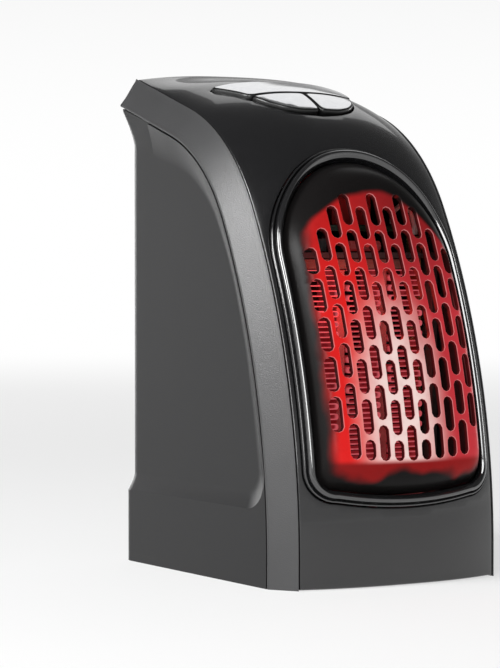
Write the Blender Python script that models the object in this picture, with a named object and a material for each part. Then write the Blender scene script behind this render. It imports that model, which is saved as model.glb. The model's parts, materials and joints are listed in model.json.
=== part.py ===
"""Plug-in fan heater with a swivelling plug, a domed outlet grille and two keys on its top.

Units are metres and +Z is up. The origin is the centre of the plug's face, which rests on the wall.
The front faces -Y, and +X is on the right of someone who looks at the front.
"""

import math

import bmesh
import bpy
from mathutils import Matrix, Vector

# Fits shared by all pieces
GAP = 0.0003
BORE_GAP = 0.0002
OVERRUN = 0.004
CUTTER_RISE = 0.014
BEYOND_FRONT = 0.012
ABOVE_TOP = 0.06
BED = 0.001
SEARCH_STEPS = 40

# Housing
SEAM_HALF_WIDTH = 0.0364
PLUG_HEIGHT = 0.105
WALL_STAND_OFF = 0.003
FRONT_DEPTH = 0.0876
FOOT_RISE = 0.008
LOWER_RADIUS = 0.195
LOWER_LEAN = math.radians(28.5)
UPPER_RADIUS = 0.0575
TOP_LEAN = math.radians(72)
CORNER_RADIUS = 0.005
TOP_CORNER_RADIUS = 0.001
TOP_CORNER_FADE = 0.025
PLAN_CORNER_STEPS = 6
SHELL_WALL = 0.002
FLOOR = 0.002
RECESS_DEPTH = 0.002
RECESS_FOOT = 0.0255
RECESS_EDGE = 0.0205
RECESS_FOOT_RADIUS = 0.005
RECESS_EDGE_RADIUS = 0.009
RECESS_CORNER_RISE = 0.015
RECESS_CUT_SHARE = 1.3
RAMP_WIDTH = 0.0065
CORNER_OVERLAP = 0.0006
RAMP_SHARES = ((0, 1), (0.3, 0.92), (0.5, 0.78), (0.62, 0.9), (0.75, 1.12), (0.87, 1.35), (1, 1.52))
LOW_CAVITY_TOP = 0.019
LOW_CAVITY_SET_BACK = 0.009

# Fascia and frame
BAND_WIDTH = 0.0053
FASCIA_HALF_WIDTH = SEAM_HALF_WIDTH - BAND_WIDTH
FASCIA_WALL = 0.002
FASCIA_LIFT = 0.0004
BAND_DROP = 0.0078
TRAY_WALL = 0.0018
BAND_WALL = 0.002
CROWN = 0.0045
CROWN_POWER = 2.5
CROWN_SHARES = ((0, 1), (0.45, 1), (0.62, 1.333), (0.75, 1.556), (0.88, 1.333), (1, 0.444))
FASCIA_COLUMN_SHARES = (-1, -0.9, -0.75, -0.55, -0.3, 0, 0.3, 0.55, 0.75, 0.9, 1)
TRAY_COLUMN_SHARES = (-1, -0.82, -0.5, 0, 0.5, 0.82, 1)
LOWER_STEPS = 5
UPPER_STEPS = 6
TOP_STEPS = 3
FLANGE_SHARES = (0.98, 0.66, 0)

# Outlet window, as distances across the front and up its surface
WINDOW_MARGIN = 0.0013
WINDOW_HALF_WIDTH = FASCIA_HALF_WIDTH - WINDOW_MARGIN
WINDOW_ARCH_START = 0.0884
WINDOW_ARCH_LIFT = 0.001
WINDOW_ARCH_RISE = WINDOW_HALF_WIDTH + WINDOW_ARCH_LIFT
WINDOW_BOTTOM = 0.0205
WINDOW_BOTTOM_SAG = 0.0019
WINDOW_CORNER = 0.0085
SIDE_STEPS = 5
ARCH_STEPS = 16
CORNER_STEPS = 3
BOTTOM_STEPS = 6
LEAST_CORNER = 0.0003

# Bezel
BEZEL_WIDTH = 0.003
BEZEL_PROUD = 0.002
BEZEL_SHOULDER = 0.0005
BEZEL_ROUND = 0.0013
BEZEL_INNER_ROUND = 0.0005
BEZEL_DEPTH = 0.004

# Grille
GRILLE_RIM_DROP = 0.001
GRILLE_PROUD = 0.0046
GRILLE_WALL = 0.0016
DOME_SIDE = 0.0083
DOME_HALF_WIDTH = WINDOW_HALF_WIDTH - DOME_SIDE
SLOT_FIELD_MARGIN = 0.00605
SLOT_FIELD_HALF_WIDTH = WINDOW_HALF_WIDTH - SLOT_FIELD_MARGIN
SLOT_FIELD_ARCH_START = 0.0815
SLOT_FIELD_BOTTOM = 0.0315
SLOT_FIELD_CORNER = 0.005
FLANK_SHARES = ((0, 0), (0.25, 0.42), (0.55, 0.78), (0.8, 0.95), (1, 1))
FIELD_SHARES = (0.4, 1)
UNDER_FLANK_SHARES = ((0, 0), (0.55, 0.78), (1, 1))
UNDER_FIELD_SHARES = (1,)
SLOT_COLUMNS = 11
SLOT_WIDTH = 0.0032
SLOT_SIDE = 0.0004
SLOT_SPAN = 2 * (SLOT_FIELD_HALF_WIDTH - SLOT_SIDE) - SLOT_WIDTH
SLOT_PITCH = SLOT_SPAN / (SLOT_COLUMNS - 1)
SLOT_LENGTH = 0.0092
SLOT_RISE = 0.01035
SLOT_STAGGER_SHARE = 0.37
SLOT_EDGE = 0.0008
SLOT_END_STEPS = 3
SHORTEST_SLOT_SHARE = 0.45
SLOT_ARCH_START = 0.0846
SLOT_ARCH_RISE = 0.021
SLOT_ARCH_POWER = 2.4

# Control panel, as distances up the front surface
PANEL_FRONT_SHARE = 0.7274
PANEL_REAR_SHARE = 0.8597
PANEL_SPLIT_SHARE = 0.46
PANEL_SIDE = 0.0091
PANEL_HALF_WIDTH = FASCIA_HALF_WIDTH - PANEL_SIDE
PANEL_PROUD = 0.001
PANEL_WALL = 0.0034
PANEL_GAP = 0.00045
PANEL_TRAY_GAP = 0.0015
PANEL_TIP_SHARES = ((0, 0.02), (0.045, 0.3), (0.12, 0.5), (0.25, 0.65))
PANEL_SHARES = (*PANEL_TIP_SHARES, (PANEL_SPLIT_SHARE, 0.77), (1, 1))
DISPLAY_ROW_SHARES = (PANEL_SPLIT_SHARE, 0.64, 0.82, 1)
KEY_ROW_SHARES = (0.045, 0.12, 0.25, PANEL_SPLIT_SHARE)
DISPLAY_COLUMN_SHARES = (-1, -0.6, -0.2, 0.2, 0.6, 1)
KEY_COLUMN_SHARES = (0, 0.5, 1)
KEY_TRAVEL = 0.0005
KEY_CENTRE = 0.006
KEY_SET_FORWARD = 0.0055
KEY_STEM = 0.0032
BOARD_SIDE = 0.007
BOARD_HALF_WIDTH = PANEL_HALF_WIDTH - BOARD_SIDE
BOARD_WALL = 0.0016
CONTROL_BOARD_DEPTH = 0.012
CONTROL_BOARD_FRONT = 0.011
CONTROL_BOARD_END = 0.0037
KEY_SWITCH_SIZE = 0.006
KEY_SWITCH_HEIGHT = 0.0035
KEY_PLUNGER_RADIUS = 0.0017
KEY_PLUNGER_HEIGHT = 0.0008
MODULE_SIDE = 0.0015
MODULE_HALF_WIDTH = BOARD_HALF_WIDTH - MODULE_SIDE
MODULE_FRONT = 0.0015
MODULE_END = 0.0015
MODULE_CLEARANCE = 0.0025
BOARD_BOSS_RADIUS = 0.0028
BOARD_BOSS_BEYOND = 0.0038
BOARD_BOSS_SIDE = 0.0045
BOARD_BOSS_OFFSET = BOARD_HALF_WIDTH - BOARD_BOSS_SIDE

# Screws
SCREW_RADIUS = 0.0014
SCREW_HEAD_RADIUS = 0.0027
SCREW_HEAD_HEIGHT = 0.0016
SCREW_LENGTH = 0.012
SMALL_SCREW_RADIUS = 0.0009
SMALL_SCREW_HEAD_RADIUS = 0.0018
SMALL_SCREW_HEAD_HEIGHT = 0.0011
SMALL_SCREW_LENGTH = 0.005
SCREW_SIDES = 10
SLOT_SHARE = 0.5
HOUSING_BOSS_RADIUS = 0.0042
BOSS_FLOOR = 0.0025
LOWER_BOSS_INSET = 0.0224
LOWER_BOSS_SPAN = SEAM_HALF_WIDTH - LOWER_BOSS_INSET
LOWER_BOSS_HEIGHT = 0.009
LOWER_BOSS_MEET_SHARE = 0.5708
LOWER_BOSS_MEET = FRONT_DEPTH * LOWER_BOSS_MEET_SHARE
UPPER_BOSS_INSET = 0.0099
UPPER_BOSS_SPAN = SEAM_HALF_WIDTH - UPPER_BOSS_INSET
UPPER_BOSS_MEET_SHARE = 0.3196
UPPER_BOSS_MEET = FRONT_DEPTH * UPPER_BOSS_MEET_SHARE
BOSS_SIDES = 14
BOSS_SINK = 0.00045

# Plug
HUB_RADIUS = 0.015
PLUG_FACE_RIM = 0.0035
PLUG_FACE_RADIUS = HUB_RADIUS + PLUG_FACE_RIM
HUB_LENGTH = 0.011
GROOVE_DEPTH = 0.0016
GROOVE_WIDTH = 0.0017
PIN_RADIUS = 0.0024
PIN_LENGTH = 0.019
PIN_SPACING = 0.019
PIN_TIP = 0.0012
RETAINER_WIDTH = 0.0031
RETAINER_OPENING = math.radians(70)
RETAINER_STEPS = 26
RING_WALL = 0.0008
INNER_RING_RADIUS = 0.0042
OUTER_RING_RADIUS = 0.0133
RING_WIDTH = 0.0022
RING_TAB_WIDTH = 0.003
RING_TAB_REACH = 0.0019
RING_TAB_INSET = 0.0001
PLUG_SIDES = 32
PIN_SIDES = 16

# Brush carrier
CARRIER_WALL = 0.0025
CARRIER_HALF_HEIGHT = 0.005
CARRIER_LEG = 0.0033
BRUSH_WIDTH = 0.0018
BRUSH_HEIGHT = 0.004
BRUSH_LENGTH = 0.0086
BRUSH_REACH = 0.0046

# Fan and motor
FAN_HEIGHT = 0.056
FAN_TIP_GAP = 0.0012
FAN_HUB_RADIUS = 0.008
FAN_BLADES = 7
BLADE_WALL = 0.0011
BLADE_ROOT_SHARE = 0.8
BLADE_SWEEP = math.radians(34)
BLADE_STEPS = 3
MOTOR_RADIUS = 0.012
MOTOR_WALL = 0.0016
MOTOR_SIDES = 18
ROTOR_RADIUS = 0.0088
ROTOR_END_GAP = 0.0015
SHAFT_RADIUS = 0.001
SHAFT_TAIL = 0.0012
BEARING_RADIUS = 0.003
BEARING_LENGTH = 0.003
MOTOR_SCREW_SPAN = 0.0065

# Duct round the fan and the element
DUCT_INSET = 0.0064
DUCT_HALF_WIDTH = SEAM_HALF_WIDTH - DUCT_INSET
DUCT_HALF_HEIGHT = 0.0325
DUCT_WALL = 0.0016
DUCT_PLATE = 0.002
DUCT_FRONT_SHARE = 0.7534
DUCT_PLATE_SHARE = 0.605
FAN_REAR_SHARE = 0.4452
DUCT_REAR_SHARE = 0.3881
DUCT_FRONT = FRONT_DEPTH * DUCT_FRONT_SHARE
DUCT_PLATE_FRONT = FRONT_DEPTH * DUCT_PLATE_SHARE
DUCT_PLATE_REAR = DUCT_PLATE_FRONT - DUCT_PLATE
FAN_REAR = FRONT_DEPTH * FAN_REAR_SHARE
DUCT_REAR = FRONT_DEPTH * DUCT_REAR_SHARE
FAN_END_GAP = 0.002
FAN_DEPTH = DUCT_PLATE_REAR - FAN_REAR - FAN_END_GAP
MOTOR_LENGTH_SHARE = 0.2283
MOTOR_LENGTH = FRONT_DEPTH * MOTOR_LENGTH_SHARE
FAN_SIDE_GAP = 0.0032
FAN_RADIUS = DUCT_HALF_WIDTH - FAN_SIDE_GAP
SPIDER_ARMS = 3
SPIDER_ARM_WIDTH = 0.004
SPIDER_WALL = 0.0022
SPIDER_INSET = 0.0003
SPIDER_HUB_RADIUS = 0.0092
SPIDER_ROOT_SHARE = 0.9
FAN_SIDES = 36
POST_RADIUS = 0.003
POST_INSET = 0.0038
POST_SPAN = DUCT_HALF_WIDTH - POST_INSET
POST_RISE = 0.0285

# Heating element
FIN_STRIPS = 4
FIN_SET_BACK = 0.0025
FIN_DEPTH = DUCT_FRONT - DUCT_PLATE_FRONT - FIN_SET_BACK
FIN_PITCH = 0.0028
FIN_WALL = 0.0004
PTC_WALL = 0.0026
ELEMENT_SIDE_GAP = 0.002
ELEMENT_HALF_WIDTH = DUCT_HALF_WIDTH - DUCT_WALL - ELEMENT_SIDE_GAP
BARS_WIDTH = (FIN_STRIPS - 1) * (PTC_WALL + 2 * GAP)
FIN_WIDTH = (2 * ELEMENT_HALF_WIDTH - BARS_WIDTH) / FIN_STRIPS
PTC_DEPTH = 0.009
HOLDER_WALL = 0.0026
TERMINAL_WALL = 0.0008
TERMINAL_DEPTH = 0.006
TERMINAL_RISE = 0.0045
CUTOUT_WIDTH = 0.011
CUTOUT_DEPTH = 0.007
CUTOUT_HEIGHT = 0.0035
CUTOUT_OFFSET = 0.010
FUSE_RADIUS = 0.0015
FUSE_LENGTH = 0.010

# Power board
POWER_BOARD_HEIGHT = 0.0945
POWER_BOARD_WALL = 0.0016
POWER_BOARD_SET_BACK = 0.010
POWER_BOARD_LENGTH = 0.0305
POWER_BOARD_FRONT = DUCT_FRONT - POWER_BOARD_SET_BACK
POWER_BOARD_REAR = POWER_BOARD_FRONT - POWER_BOARD_LENGTH
POWER_BOARD_HALF_WIDTH = DUCT_HALF_WIDTH
RAIL_WIDTH = 0.0035
RAIL_HEIGHT = 0.0015
RELAY_SIZE = (0.019, 0.015, 0.0135)
RELAY_SET_BACK = 0.013
RELAY_PLACE = (-0.011, POWER_BOARD_FRONT - RELAY_SET_BACK)
CAPACITOR_SIZE = (0.013, 0.007, 0.011)
CAPACITOR_SET_BACK = 0.010
CAPACITOR_PLACE = (0.012, POWER_BOARD_FRONT - CAPACITOR_SET_BACK)

# Side switch
SWITCH_HEIGHT = 0.011
SWITCH_DEPTH = 0.045
SWITCH_BODY = (0.0145, 0.0190, 0.0130)
SWITCH_FLANGE = (0.0012, 0.0215, 0.0150)
SWITCH_WALL = 0.0012
ROCKER_HALF_LENGTH = 0.0078
ROCKER_END_SHARE = 0.9
ROCKER_HUB = 0.0035
ROCKER_RISE = 0.0028
ROCKER_END_RISE = 0.0012
ROCKER_SKIRT = 0.003
ROCKER_SWING = math.radians(12)
ROCKER_POCKET = 0.0062
ROCKER_END_GAP = 0.0009

# Air inlet in the back
INLET_COLUMNS = 7
INLET_PITCH = 0.006
INLET_SLOT_WIDTH = 0.0026
INLET_SLOT_LENGTH = 0.022
INLET_HEIGHTS = (0.038, 0.067)

# Leads, with each route's own points in metres
LEAD_RADIUS = 0.0008
LEAD_POINT_SPACING = 0.0046
LEAD_BEVEL_STEPS = 2
LIVE_ROUTE = (
    (0.0133, -0.0242, 0),
    (0.0139, -0.0263, -0.0004),
    (0.0172, -0.0265, -0.003),
    (0.0193, -0.0244, -0.0078),
    (0.0195, -0.0236, -0.014),
    (0.0195, -0.0236, -0.030),
    (0.0195, -0.0238, -0.050),
    (0.0195, -0.0242, -0.066),
    (0.0196, -0.0290, -0.079),
    (0.0198, -0.0360, -0.0862),
    (0.0203, -0.0418, -0.0902),
    (0.0227, -0.0440, -0.091),
)
SWITCHED_ROUTE = (
    (0.0227, -0.0505, -0.091),
    (0.0196, -0.0490, -0.0890),
    (0.0175, -0.0420, -0.0855),
    (0.0164, -0.0335, -0.0820),
    (0.0160, -0.0285, -0.074),
    (0.0160, -0.0270, -0.060),
    (0.0160, -0.0270, -0.040),
    (0.0160, -0.0275, -0.024),
    (0.0160, -0.0290, -0.0145),
    (0.0160, -0.0292, -0.0112),
)
NEUTRAL_ROUTE = (
    (-0.0042, -0.0242, 0),
    (-0.0044, -0.0265, -0.0005),
    (-0.0052, -0.0292, -0.003),
    (-0.0055, -0.0300, -0.006),
    (-0.0055, -0.0300, -0.0084),
)
HEATER_ROUTE = (
    (0.0271, -0.0590, -0.0114),
    (0.0270, -0.0592, -0.0090),
    (0.0260, -0.0590, -0.0050),
    (0.0245, -0.0560, -0.0030),
    (0.0235, -0.0535, -0.0050),
    (0.0235, -0.0530, -0.0084),
)
MOTOR_ROUTE = (
    (0.0060, -0.0132, -0.043),
    (0.0063, -0.0110, -0.0422),
    (0.0070, -0.0100, -0.036),
    (0.0075, -0.0130, -0.028),
    (0.0080, -0.0190, -0.020),
    (0.0083, -0.0245, -0.0155),
    (0.0085, -0.0276, -0.0132),
    (0.0085, -0.0282, -0.0112),
)
DISPLAY_ROUTE = (
    (0, -0.0302, 0.0162),
    (0, -0.0293, 0.0140),
    (0.0010, -0.0293, 0.008),
    (0.0015, -0.0312, 0),
    (0.0015, -0.0325, -0.005),
    (0.0015, -0.0326, -0.0084),
)

# Worked out from the sizes above
REAR_Y = -WALL_STAND_OFF
BASE_Z = -PLUG_HEIGHT
LOWER_END = FOOT_RISE + LOWER_RADIUS * LOWER_LEAN
UPPER_END = LOWER_END + UPPER_RADIUS * (TOP_LEAN - LOWER_LEAN)
LOWER_CENTRE = FRONT_DEPTH - LOWER_RADIUS
UPPER_CENTRE = LOWER_CENTRE + (LOWER_RADIUS - UPPER_RADIUS) * math.cos(LOWER_LEAN)
UPPER_CENTRE_RISE = FOOT_RISE + (LOWER_RADIUS - UPPER_RADIUS) * math.sin(LOWER_LEAN)
TOP_START_DEPTH = UPPER_CENTRE + UPPER_RADIUS * math.cos(TOP_LEAN)
TOP_START_RISE = UPPER_CENTRE_RISE + UPPER_RADIUS * math.sin(TOP_LEAN)
PROFILE_LENGTH = UPPER_END + TOP_START_DEPTH / math.sin(TOP_LEAN)
PANEL_FRONT = PROFILE_LENGTH * PANEL_FRONT_SHARE
PANEL_REAR = PROFILE_LENGTH * PANEL_REAR_SHARE
PANEL_SPLIT = PANEL_FRONT + (PANEL_REAR - PANEL_FRONT) * PANEL_SPLIT_SHARE
BOARD_BOSS_REACH = PANEL_REAR - PANEL_SPLIT + BOARD_BOSS_BEYOND
CONTROL_BOARD_REAR = BOARD_BOSS_REACH + CONTROL_BOARD_END
MODULE_REAR = PANEL_REAR - PANEL_SPLIT - MODULE_END
TRAY_TOP = FASCIA_WALL + GAP
TRAY_BOTTOM = TRAY_TOP + TRAY_WALL
RECESS_HALF_WIDTH = SEAM_HALF_WIDTH - RECESS_DEPTH
CAVITY_HALF_WIDTH = RECESS_HALF_WIDTH - SHELL_WALL
WALL_INSIDE = REAR_Y - SHELL_WALL
UPPER_BOSS_HEIGHT = PLUG_HEIGHT + CARRIER_HALF_HEIGHT + HOUSING_BOSS_RADIUS + GAP
HUB_BACK = REAR_Y + GAP
HUB_FRONT = HUB_BACK - HUB_LENGTH
FAN_Z = BASE_Z + FAN_HEIGHT
PIN_X = PIN_SPACING / 2


def clear_scene():
    for existing in list(bpy.data.objects):
        bpy.data.objects.remove(existing)


def material(name, colour, roughness, metallic=0.0):
    """A Principled material of one colour."""
    made = bpy.data.materials.get(name)
    if made:
        return made
    made = bpy.data.materials.new(name)
    made.use_nodes = True
    shader = made.node_tree.nodes["Principled BSDF"]
    shader.inputs["Base Color"].default_value = (*colour, 1)
    shader.inputs["Roughness"].default_value = roughness
    shader.inputs["Metallic"].default_value = metallic
    return made


def gloss_black():
    return material("gloss black plastic", (0.012, 0.012, 0.013), 0.12)


def shell_grey():
    return material("dark grey plastic", (0.055, 0.056, 0.058), 0.55)


def band_grey():
    return material("satin grey plastic", (0.16, 0.16, 0.165), 0.42)


def grille_black():
    return material("grille black plastic", (0.015, 0.013, 0.013), 0.4)


def inner_black():
    return material("inner black plastic", (0.02, 0.02, 0.02), 0.6)


def heat_plastic():
    return material("heat-resistant plastic", (0.09, 0.075, 0.06), 0.6)


def smoked():
    return material("smoked clear plastic", (0.02, 0.02, 0.022), 0.08)


def board_green():
    return material("circuit board", (0.02, 0.12, 0.05), 0.5)


def brass():
    return material("brass", (0.72, 0.5, 0.2), 0.3, 1.0)


def nickel():
    return material("nickel-plated brass", (0.66, 0.64, 0.6), 0.22, 1.0)


def steel():
    return material("zinc-plated steel", (0.55, 0.56, 0.58), 0.32, 1.0)


def aluminium():
    return material("aluminium", (0.78, 0.78, 0.79), 0.35, 1.0)


def ceramic():
    return material("ceramic", (0.62, 0.6, 0.56), 0.7)


def lead_red():
    return material("red lead", (0.45, 0.02, 0.02), 0.45)


def lead_blue():
    return material("blue lead", (0.02, 0.06, 0.4), 0.45)


def lead_white():
    return material("white lead", (0.7, 0.7, 0.68), 0.5)


def profile(t):
    """Depth ahead of the rear plane, height above the base and backward lean, t up the side edge."""
    if t <= FOOT_RISE:
        return FRONT_DEPTH, t, 0.0
    if t <= LOWER_END:
        lean = (t - FOOT_RISE) / LOWER_RADIUS
        depth = LOWER_CENTRE + LOWER_RADIUS * math.cos(lean)
        return depth, FOOT_RISE + LOWER_RADIUS * math.sin(lean), lean
    if t <= UPPER_END:
        lean = LOWER_LEAN + (t - LOWER_END) / UPPER_RADIUS
        depth = UPPER_CENTRE + UPPER_RADIUS * math.cos(lean)
        return depth, UPPER_CENTRE_RISE + UPPER_RADIUS * math.sin(lean), lean
    run = t - UPPER_END
    depth = TOP_START_DEPTH - run * math.sin(TOP_LEAN)
    return depth, TOP_START_RISE + run * math.cos(TOP_LEAN), TOP_LEAN


def eased(pairs, share):
    """The value at a share, eased from one listed pair to the next."""
    for (low, first), (high, last) in zip(pairs, pairs[1:]):
        if share <= high:
            along = max(0.0, (share - low) / (high - low))
            return first + (last - first) * along * along * (3 - 2 * along)
    return pairs[-1][1]


def straight(pairs, share):
    """The value at a share, on straight lines through the listed pairs."""
    for (low, first), (high, last) in zip(pairs, pairs[1:]):
        if share <= high:
            return first + (last - first) * max(0.0, (share - low) / (high - low))
    return pairs[-1][1]


def crown(x, t):
    across = min(1.0, abs(x) / FASCIA_HALF_WIDTH)
    return CROWN * eased(CROWN_SHARES, t / PROFILE_LENGTH) * (1 - across**CROWN_POWER)


def raised(x, t, offset):
    """The point at x, offset outwards from the side edge's profile at t."""
    if t >= PROFILE_LENGTH:
        t = PROFILE_LENGTH + offset / math.tan(TOP_LEAN)
    depth, rise, lean = profile(t)
    ahead = depth + offset * math.cos(lean)
    return Vector((x, REAR_Y - ahead, BASE_Z + rise + offset * math.sin(lean)))


def front_point(x, t, proud=0.0):
    """The point at x and t on the fascia's surface, or proud of it."""
    return raised(x, t, crown(x, t) + proud)


def surface_y(x, z, proud):
    """Where the surface that lies proud of the fascia crosses the line along Y at x and z."""
    low, high = 0.0, PROFILE_LENGTH
    for _ in range(SEARCH_STEPS):
        middle = (low + high) / 2
        if front_point(x, middle, proud).z < z:
            low = middle
        else:
            high = middle
    return front_point(x, low, proud).y


def stations(first=0.0):
    """Places up the profile where a swept section is repeated."""
    lower = [FOOT_RISE + (LOWER_END - FOOT_RISE) * i / LOWER_STEPS for i in range(LOWER_STEPS)]
    upper = [LOWER_END + (UPPER_END - LOWER_END) * i / UPPER_STEPS for i in range(UPPER_STEPS)]
    top = [UPPER_END + (PROFILE_LENGTH - UPPER_END) * i / TOP_STEPS for i in range(TOP_STEPS + 1)]
    return [first] + lower + upper + top


def finish(name, mesh_edit, look, origin=(0, 0, 0), smooth=None):
    """Make the object, with its origin moved to the given place."""
    bmesh.ops.recalc_face_normals(mesh_edit, faces=mesh_edit.faces)
    bmesh.ops.translate(mesh_edit, vec=-Vector(origin), verts=mesh_edit.verts)
    mesh = bpy.data.meshes.new(name)
    mesh_edit.to_mesh(mesh)
    mesh_edit.free()
    made = bpy.data.objects.new(name, mesh)
    made.location = origin
    bpy.context.scene.collection.objects.link(made)
    if look:
        mesh.materials.append(look)
    if smooth:
        mesh.shade_smooth()
        mesh.set_sharp_from_angle(angle=math.radians(smooth))
    return made


def combine(target, tool, operation="DIFFERENCE"):
    """Cut the tool from the target, or join it on, and leave the tool out of renders."""
    modifier = target.modifiers.new(tool.name, "BOOLEAN")
    modifier.operation = operation
    modifier.object = tool
    modifier.solver = "EXACT"
    tool.hide_render = True
    tool.display_type = "WIRE"
    return target


def join(target, tool):
    return combine(target, tool, "UNION")


def add_loft(edit, rings, closed=False):
    """Skin rings of equal length, with flat ends unless the rings close on themselves."""
    rows = [[edit.verts.new(point) for point in ring] for ring in rings]
    pairs = list(zip(rows, rows[1:]))
    if closed:
        pairs.append((rows[-1], rows[0]))
    else:
        edit.faces.new(rows[0])
        edit.faces.new(rows[-1])
    count = len(rows[0])
    for low, high in pairs:
        for i in range(count):
            j = (i + 1) % count
            edit.faces.new((low[i], low[j], high[j], high[i]))


def loft(name, rings, look=None, closed=False, smooth=None, origin=(0, 0, 0)):
    edit = bmesh.new()
    add_loft(edit, rings, closed)
    return finish(name, edit, look, origin, smooth)


def prism(name, outline, reach, look=None, origin=(0, 0, 0)):
    """An outline of points, extruded by the vector reach."""
    first = [Vector(point) for point in outline]
    return loft(name, [first, [point + Vector(reach) for point in first]], look, origin=origin)


def box(name, low, high, look=None, origin=(0, 0, 0)):
    (x0, y0, z0), (x1, y1, z1) = low, high
    base = [(x0, y0, z0), (x1, y0, z0), (x1, y1, z0), (x0, y1, z0)]
    return prism(name, base, (0, 0, z1 - z0), look, origin)


def turned(name, outline, centre, sides, look=None, smooth=35, closed=True):
    """A turned piece about a line along Y through the centre, from (radius, y) points."""
    edit = bmesh.new()
    verts = [edit.verts.new((radius, y, 0)) for radius, y in outline]
    ends = list(zip(verts, verts[1:]))
    if closed:
        ends.append((verts[-1], verts[0]))
    edges = [edit.edges.new(pair) for pair in ends]
    spun = verts + edges
    bmesh.ops.spin(edit, geom=spun, axis=(0, 1, 0), angle=math.tau, steps=sides, use_merge=True)
    bmesh.ops.remove_doubles(edit, verts=edit.verts, dist=GAP * GAP)
    x, z = centre
    bmesh.ops.translate(edit, vec=(x, 0, z), verts=edit.verts)
    return finish(name, edit, look, (x, 0, z), smooth)


def rod(name, centre, radius, start, end, sides, look=None):
    """A plain cylinder along Y."""
    outline = [(0, start), (radius, start), (radius, end), (0, end)]
    return turned(name, outline, centre, sides, look, closed=False)


def tube(name, centre, outer, inner, start, end, sides, look=None):
    outline = [(inner, start), (outer, start), (outer, end), (inner, end)]
    return turned(name, outline, centre, sides, look)


def hole_set(name, holes, start, end, sides):
    """One cutter with a cylinder along Y for each ((x, z), radius)."""
    edit = bmesh.new()
    for (x, z), radius in holes:
        turns = [math.tau * (i + 0.5) / sides for i in range(sides)]
        ring = [(x + radius * math.cos(a), z + radius * math.sin(a)) for a in turns]
        add_loft(edit, [[(px, y, pz) for px, pz in ring] for y in (start, end)])
    return finish(name, edit, None)


def arch_outline(half, arch_start, rise, bottom, corner):
    """(x, t) points round an arched opening, from its right side over the top to its foot."""
    corner = min(max(corner, LEAST_CORNER), half)
    low = bottom + WINDOW_BOTTOM_SAG + corner
    points = []
    for i in range(SIDE_STEPS):
        points.append((half, low + (arch_start - low) * i / SIDE_STEPS))
    for i in range(ARCH_STEPS):
        turn = math.pi * i / ARCH_STEPS
        points.append((half * math.cos(turn), arch_start + rise * math.sin(turn)))
    for i in range(SIDE_STEPS):
        points.append((-half, arch_start - (arch_start - low) * i / SIDE_STEPS))
    flat = half - corner
    for i in range(CORNER_STEPS):
        turn = math.pi * i / CORNER_STEPS / 2
        points.append((-flat - corner * math.cos(turn), low - corner * math.sin(turn)))
    for i in range(BOTTOM_STEPS):
        across = 2 * i / BOTTOM_STEPS - 1
        points.append((flat * across, bottom + WINDOW_BOTTOM_SAG * across * across))
    for i in range(CORNER_STEPS):
        turn = math.pi * (1 - i / CORNER_STEPS) / 2
        points.append((flat + corner * math.cos(turn), low - corner * math.sin(turn)))
    return points


def window_outline(inset):
    """The outlet window's outline, drawn in by the inset."""
    half = WINDOW_HALF_WIDTH - inset
    rise = WINDOW_ARCH_RISE - inset
    return arch_outline(half, WINDOW_ARCH_START, rise, WINDOW_BOTTOM + inset, WINDOW_CORNER - inset)


def on_front(outline, proud):
    return [front_point(x, t, proud) for x, t in outline]


def window_cutter(name):
    outline = window_outline(0)
    deep = BEZEL_DEPTH + OVERRUN
    return loft(name, [on_front(outline, -deep), on_front(outline, CUTTER_RISE)])


def panel_half_width(t):
    share = (t - PANEL_FRONT) / (PANEL_REAR - PANEL_FRONT)
    return PANEL_HALF_WIDTH * straight(PANEL_SHARES, share)


def panel_t(share):
    return PANEL_FRONT + (PANEL_REAR - PANEL_FRONT) * share


def panel_cutter(name, margin, depth):
    """The shield-shaped opening round the display and the keys, widened by the margin."""
    right = [(panel_half_width(panel_t(share)) + margin, panel_t(share)) for share, _ in PANEL_SHARES]
    right[0] = (right[0][0], PANEL_FRONT - margin)
    right[-1] = (right[-1][0], PANEL_REAR + margin)
    outline = right + [(-x, t) for x, t in reversed(right)]
    return loft(name, [on_front(outline, -depth), on_front(outline, CUTTER_RISE)])


def swept_plate(edit, columns, rows, place, top, bottom):
    """A plate over the front surface: a grid on top, one below, and walls between them."""
    upper = [[edit.verts.new(place(c, r, top)) for c in columns] for r in rows]
    lower = [[edit.verts.new(place(c, r, bottom)) for c in columns] for r in rows]
    for i in range(len(rows) - 1):
        for j in range(len(columns) - 1):
            for grid in (upper, lower):
                corners = (grid[i][j], grid[i][j + 1], grid[i + 1][j + 1], grid[i + 1][j])
                edit.faces.new(corners)
    last = len(columns) - 1
    for i in range(len(rows) - 1):
        for j in (0, last):
            edit.faces.new((upper[i][j], upper[i + 1][j], lower[i + 1][j], lower[i][j]))
    for j in range(last):
        for i in (0, len(rows) - 1):
            edit.faces.new((upper[i][j], upper[i][j + 1], lower[i][j + 1], lower[i][j]))


def front_fascia():
    """Gloss front that bends over into the top, with the window and the panel cut out."""
    edit = bmesh.new()

    def place(share, t, proud):
        return front_point(share * FASCIA_HALF_WIDTH, t, proud)

    swept_plate(edit, FASCIA_COLUMN_SHARES, stations(FASCIA_LIFT), place, 0.0, -FASCIA_WALL)
    fascia = finish("front_fascia", edit, gloss_black(), smooth=40)
    combine(fascia, window_cutter("fascia window"))
    combine(fascia, panel_cutter("fascia panel", PANEL_GAP, FASCIA_WALL + OVERRUN))
    return fascia


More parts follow.
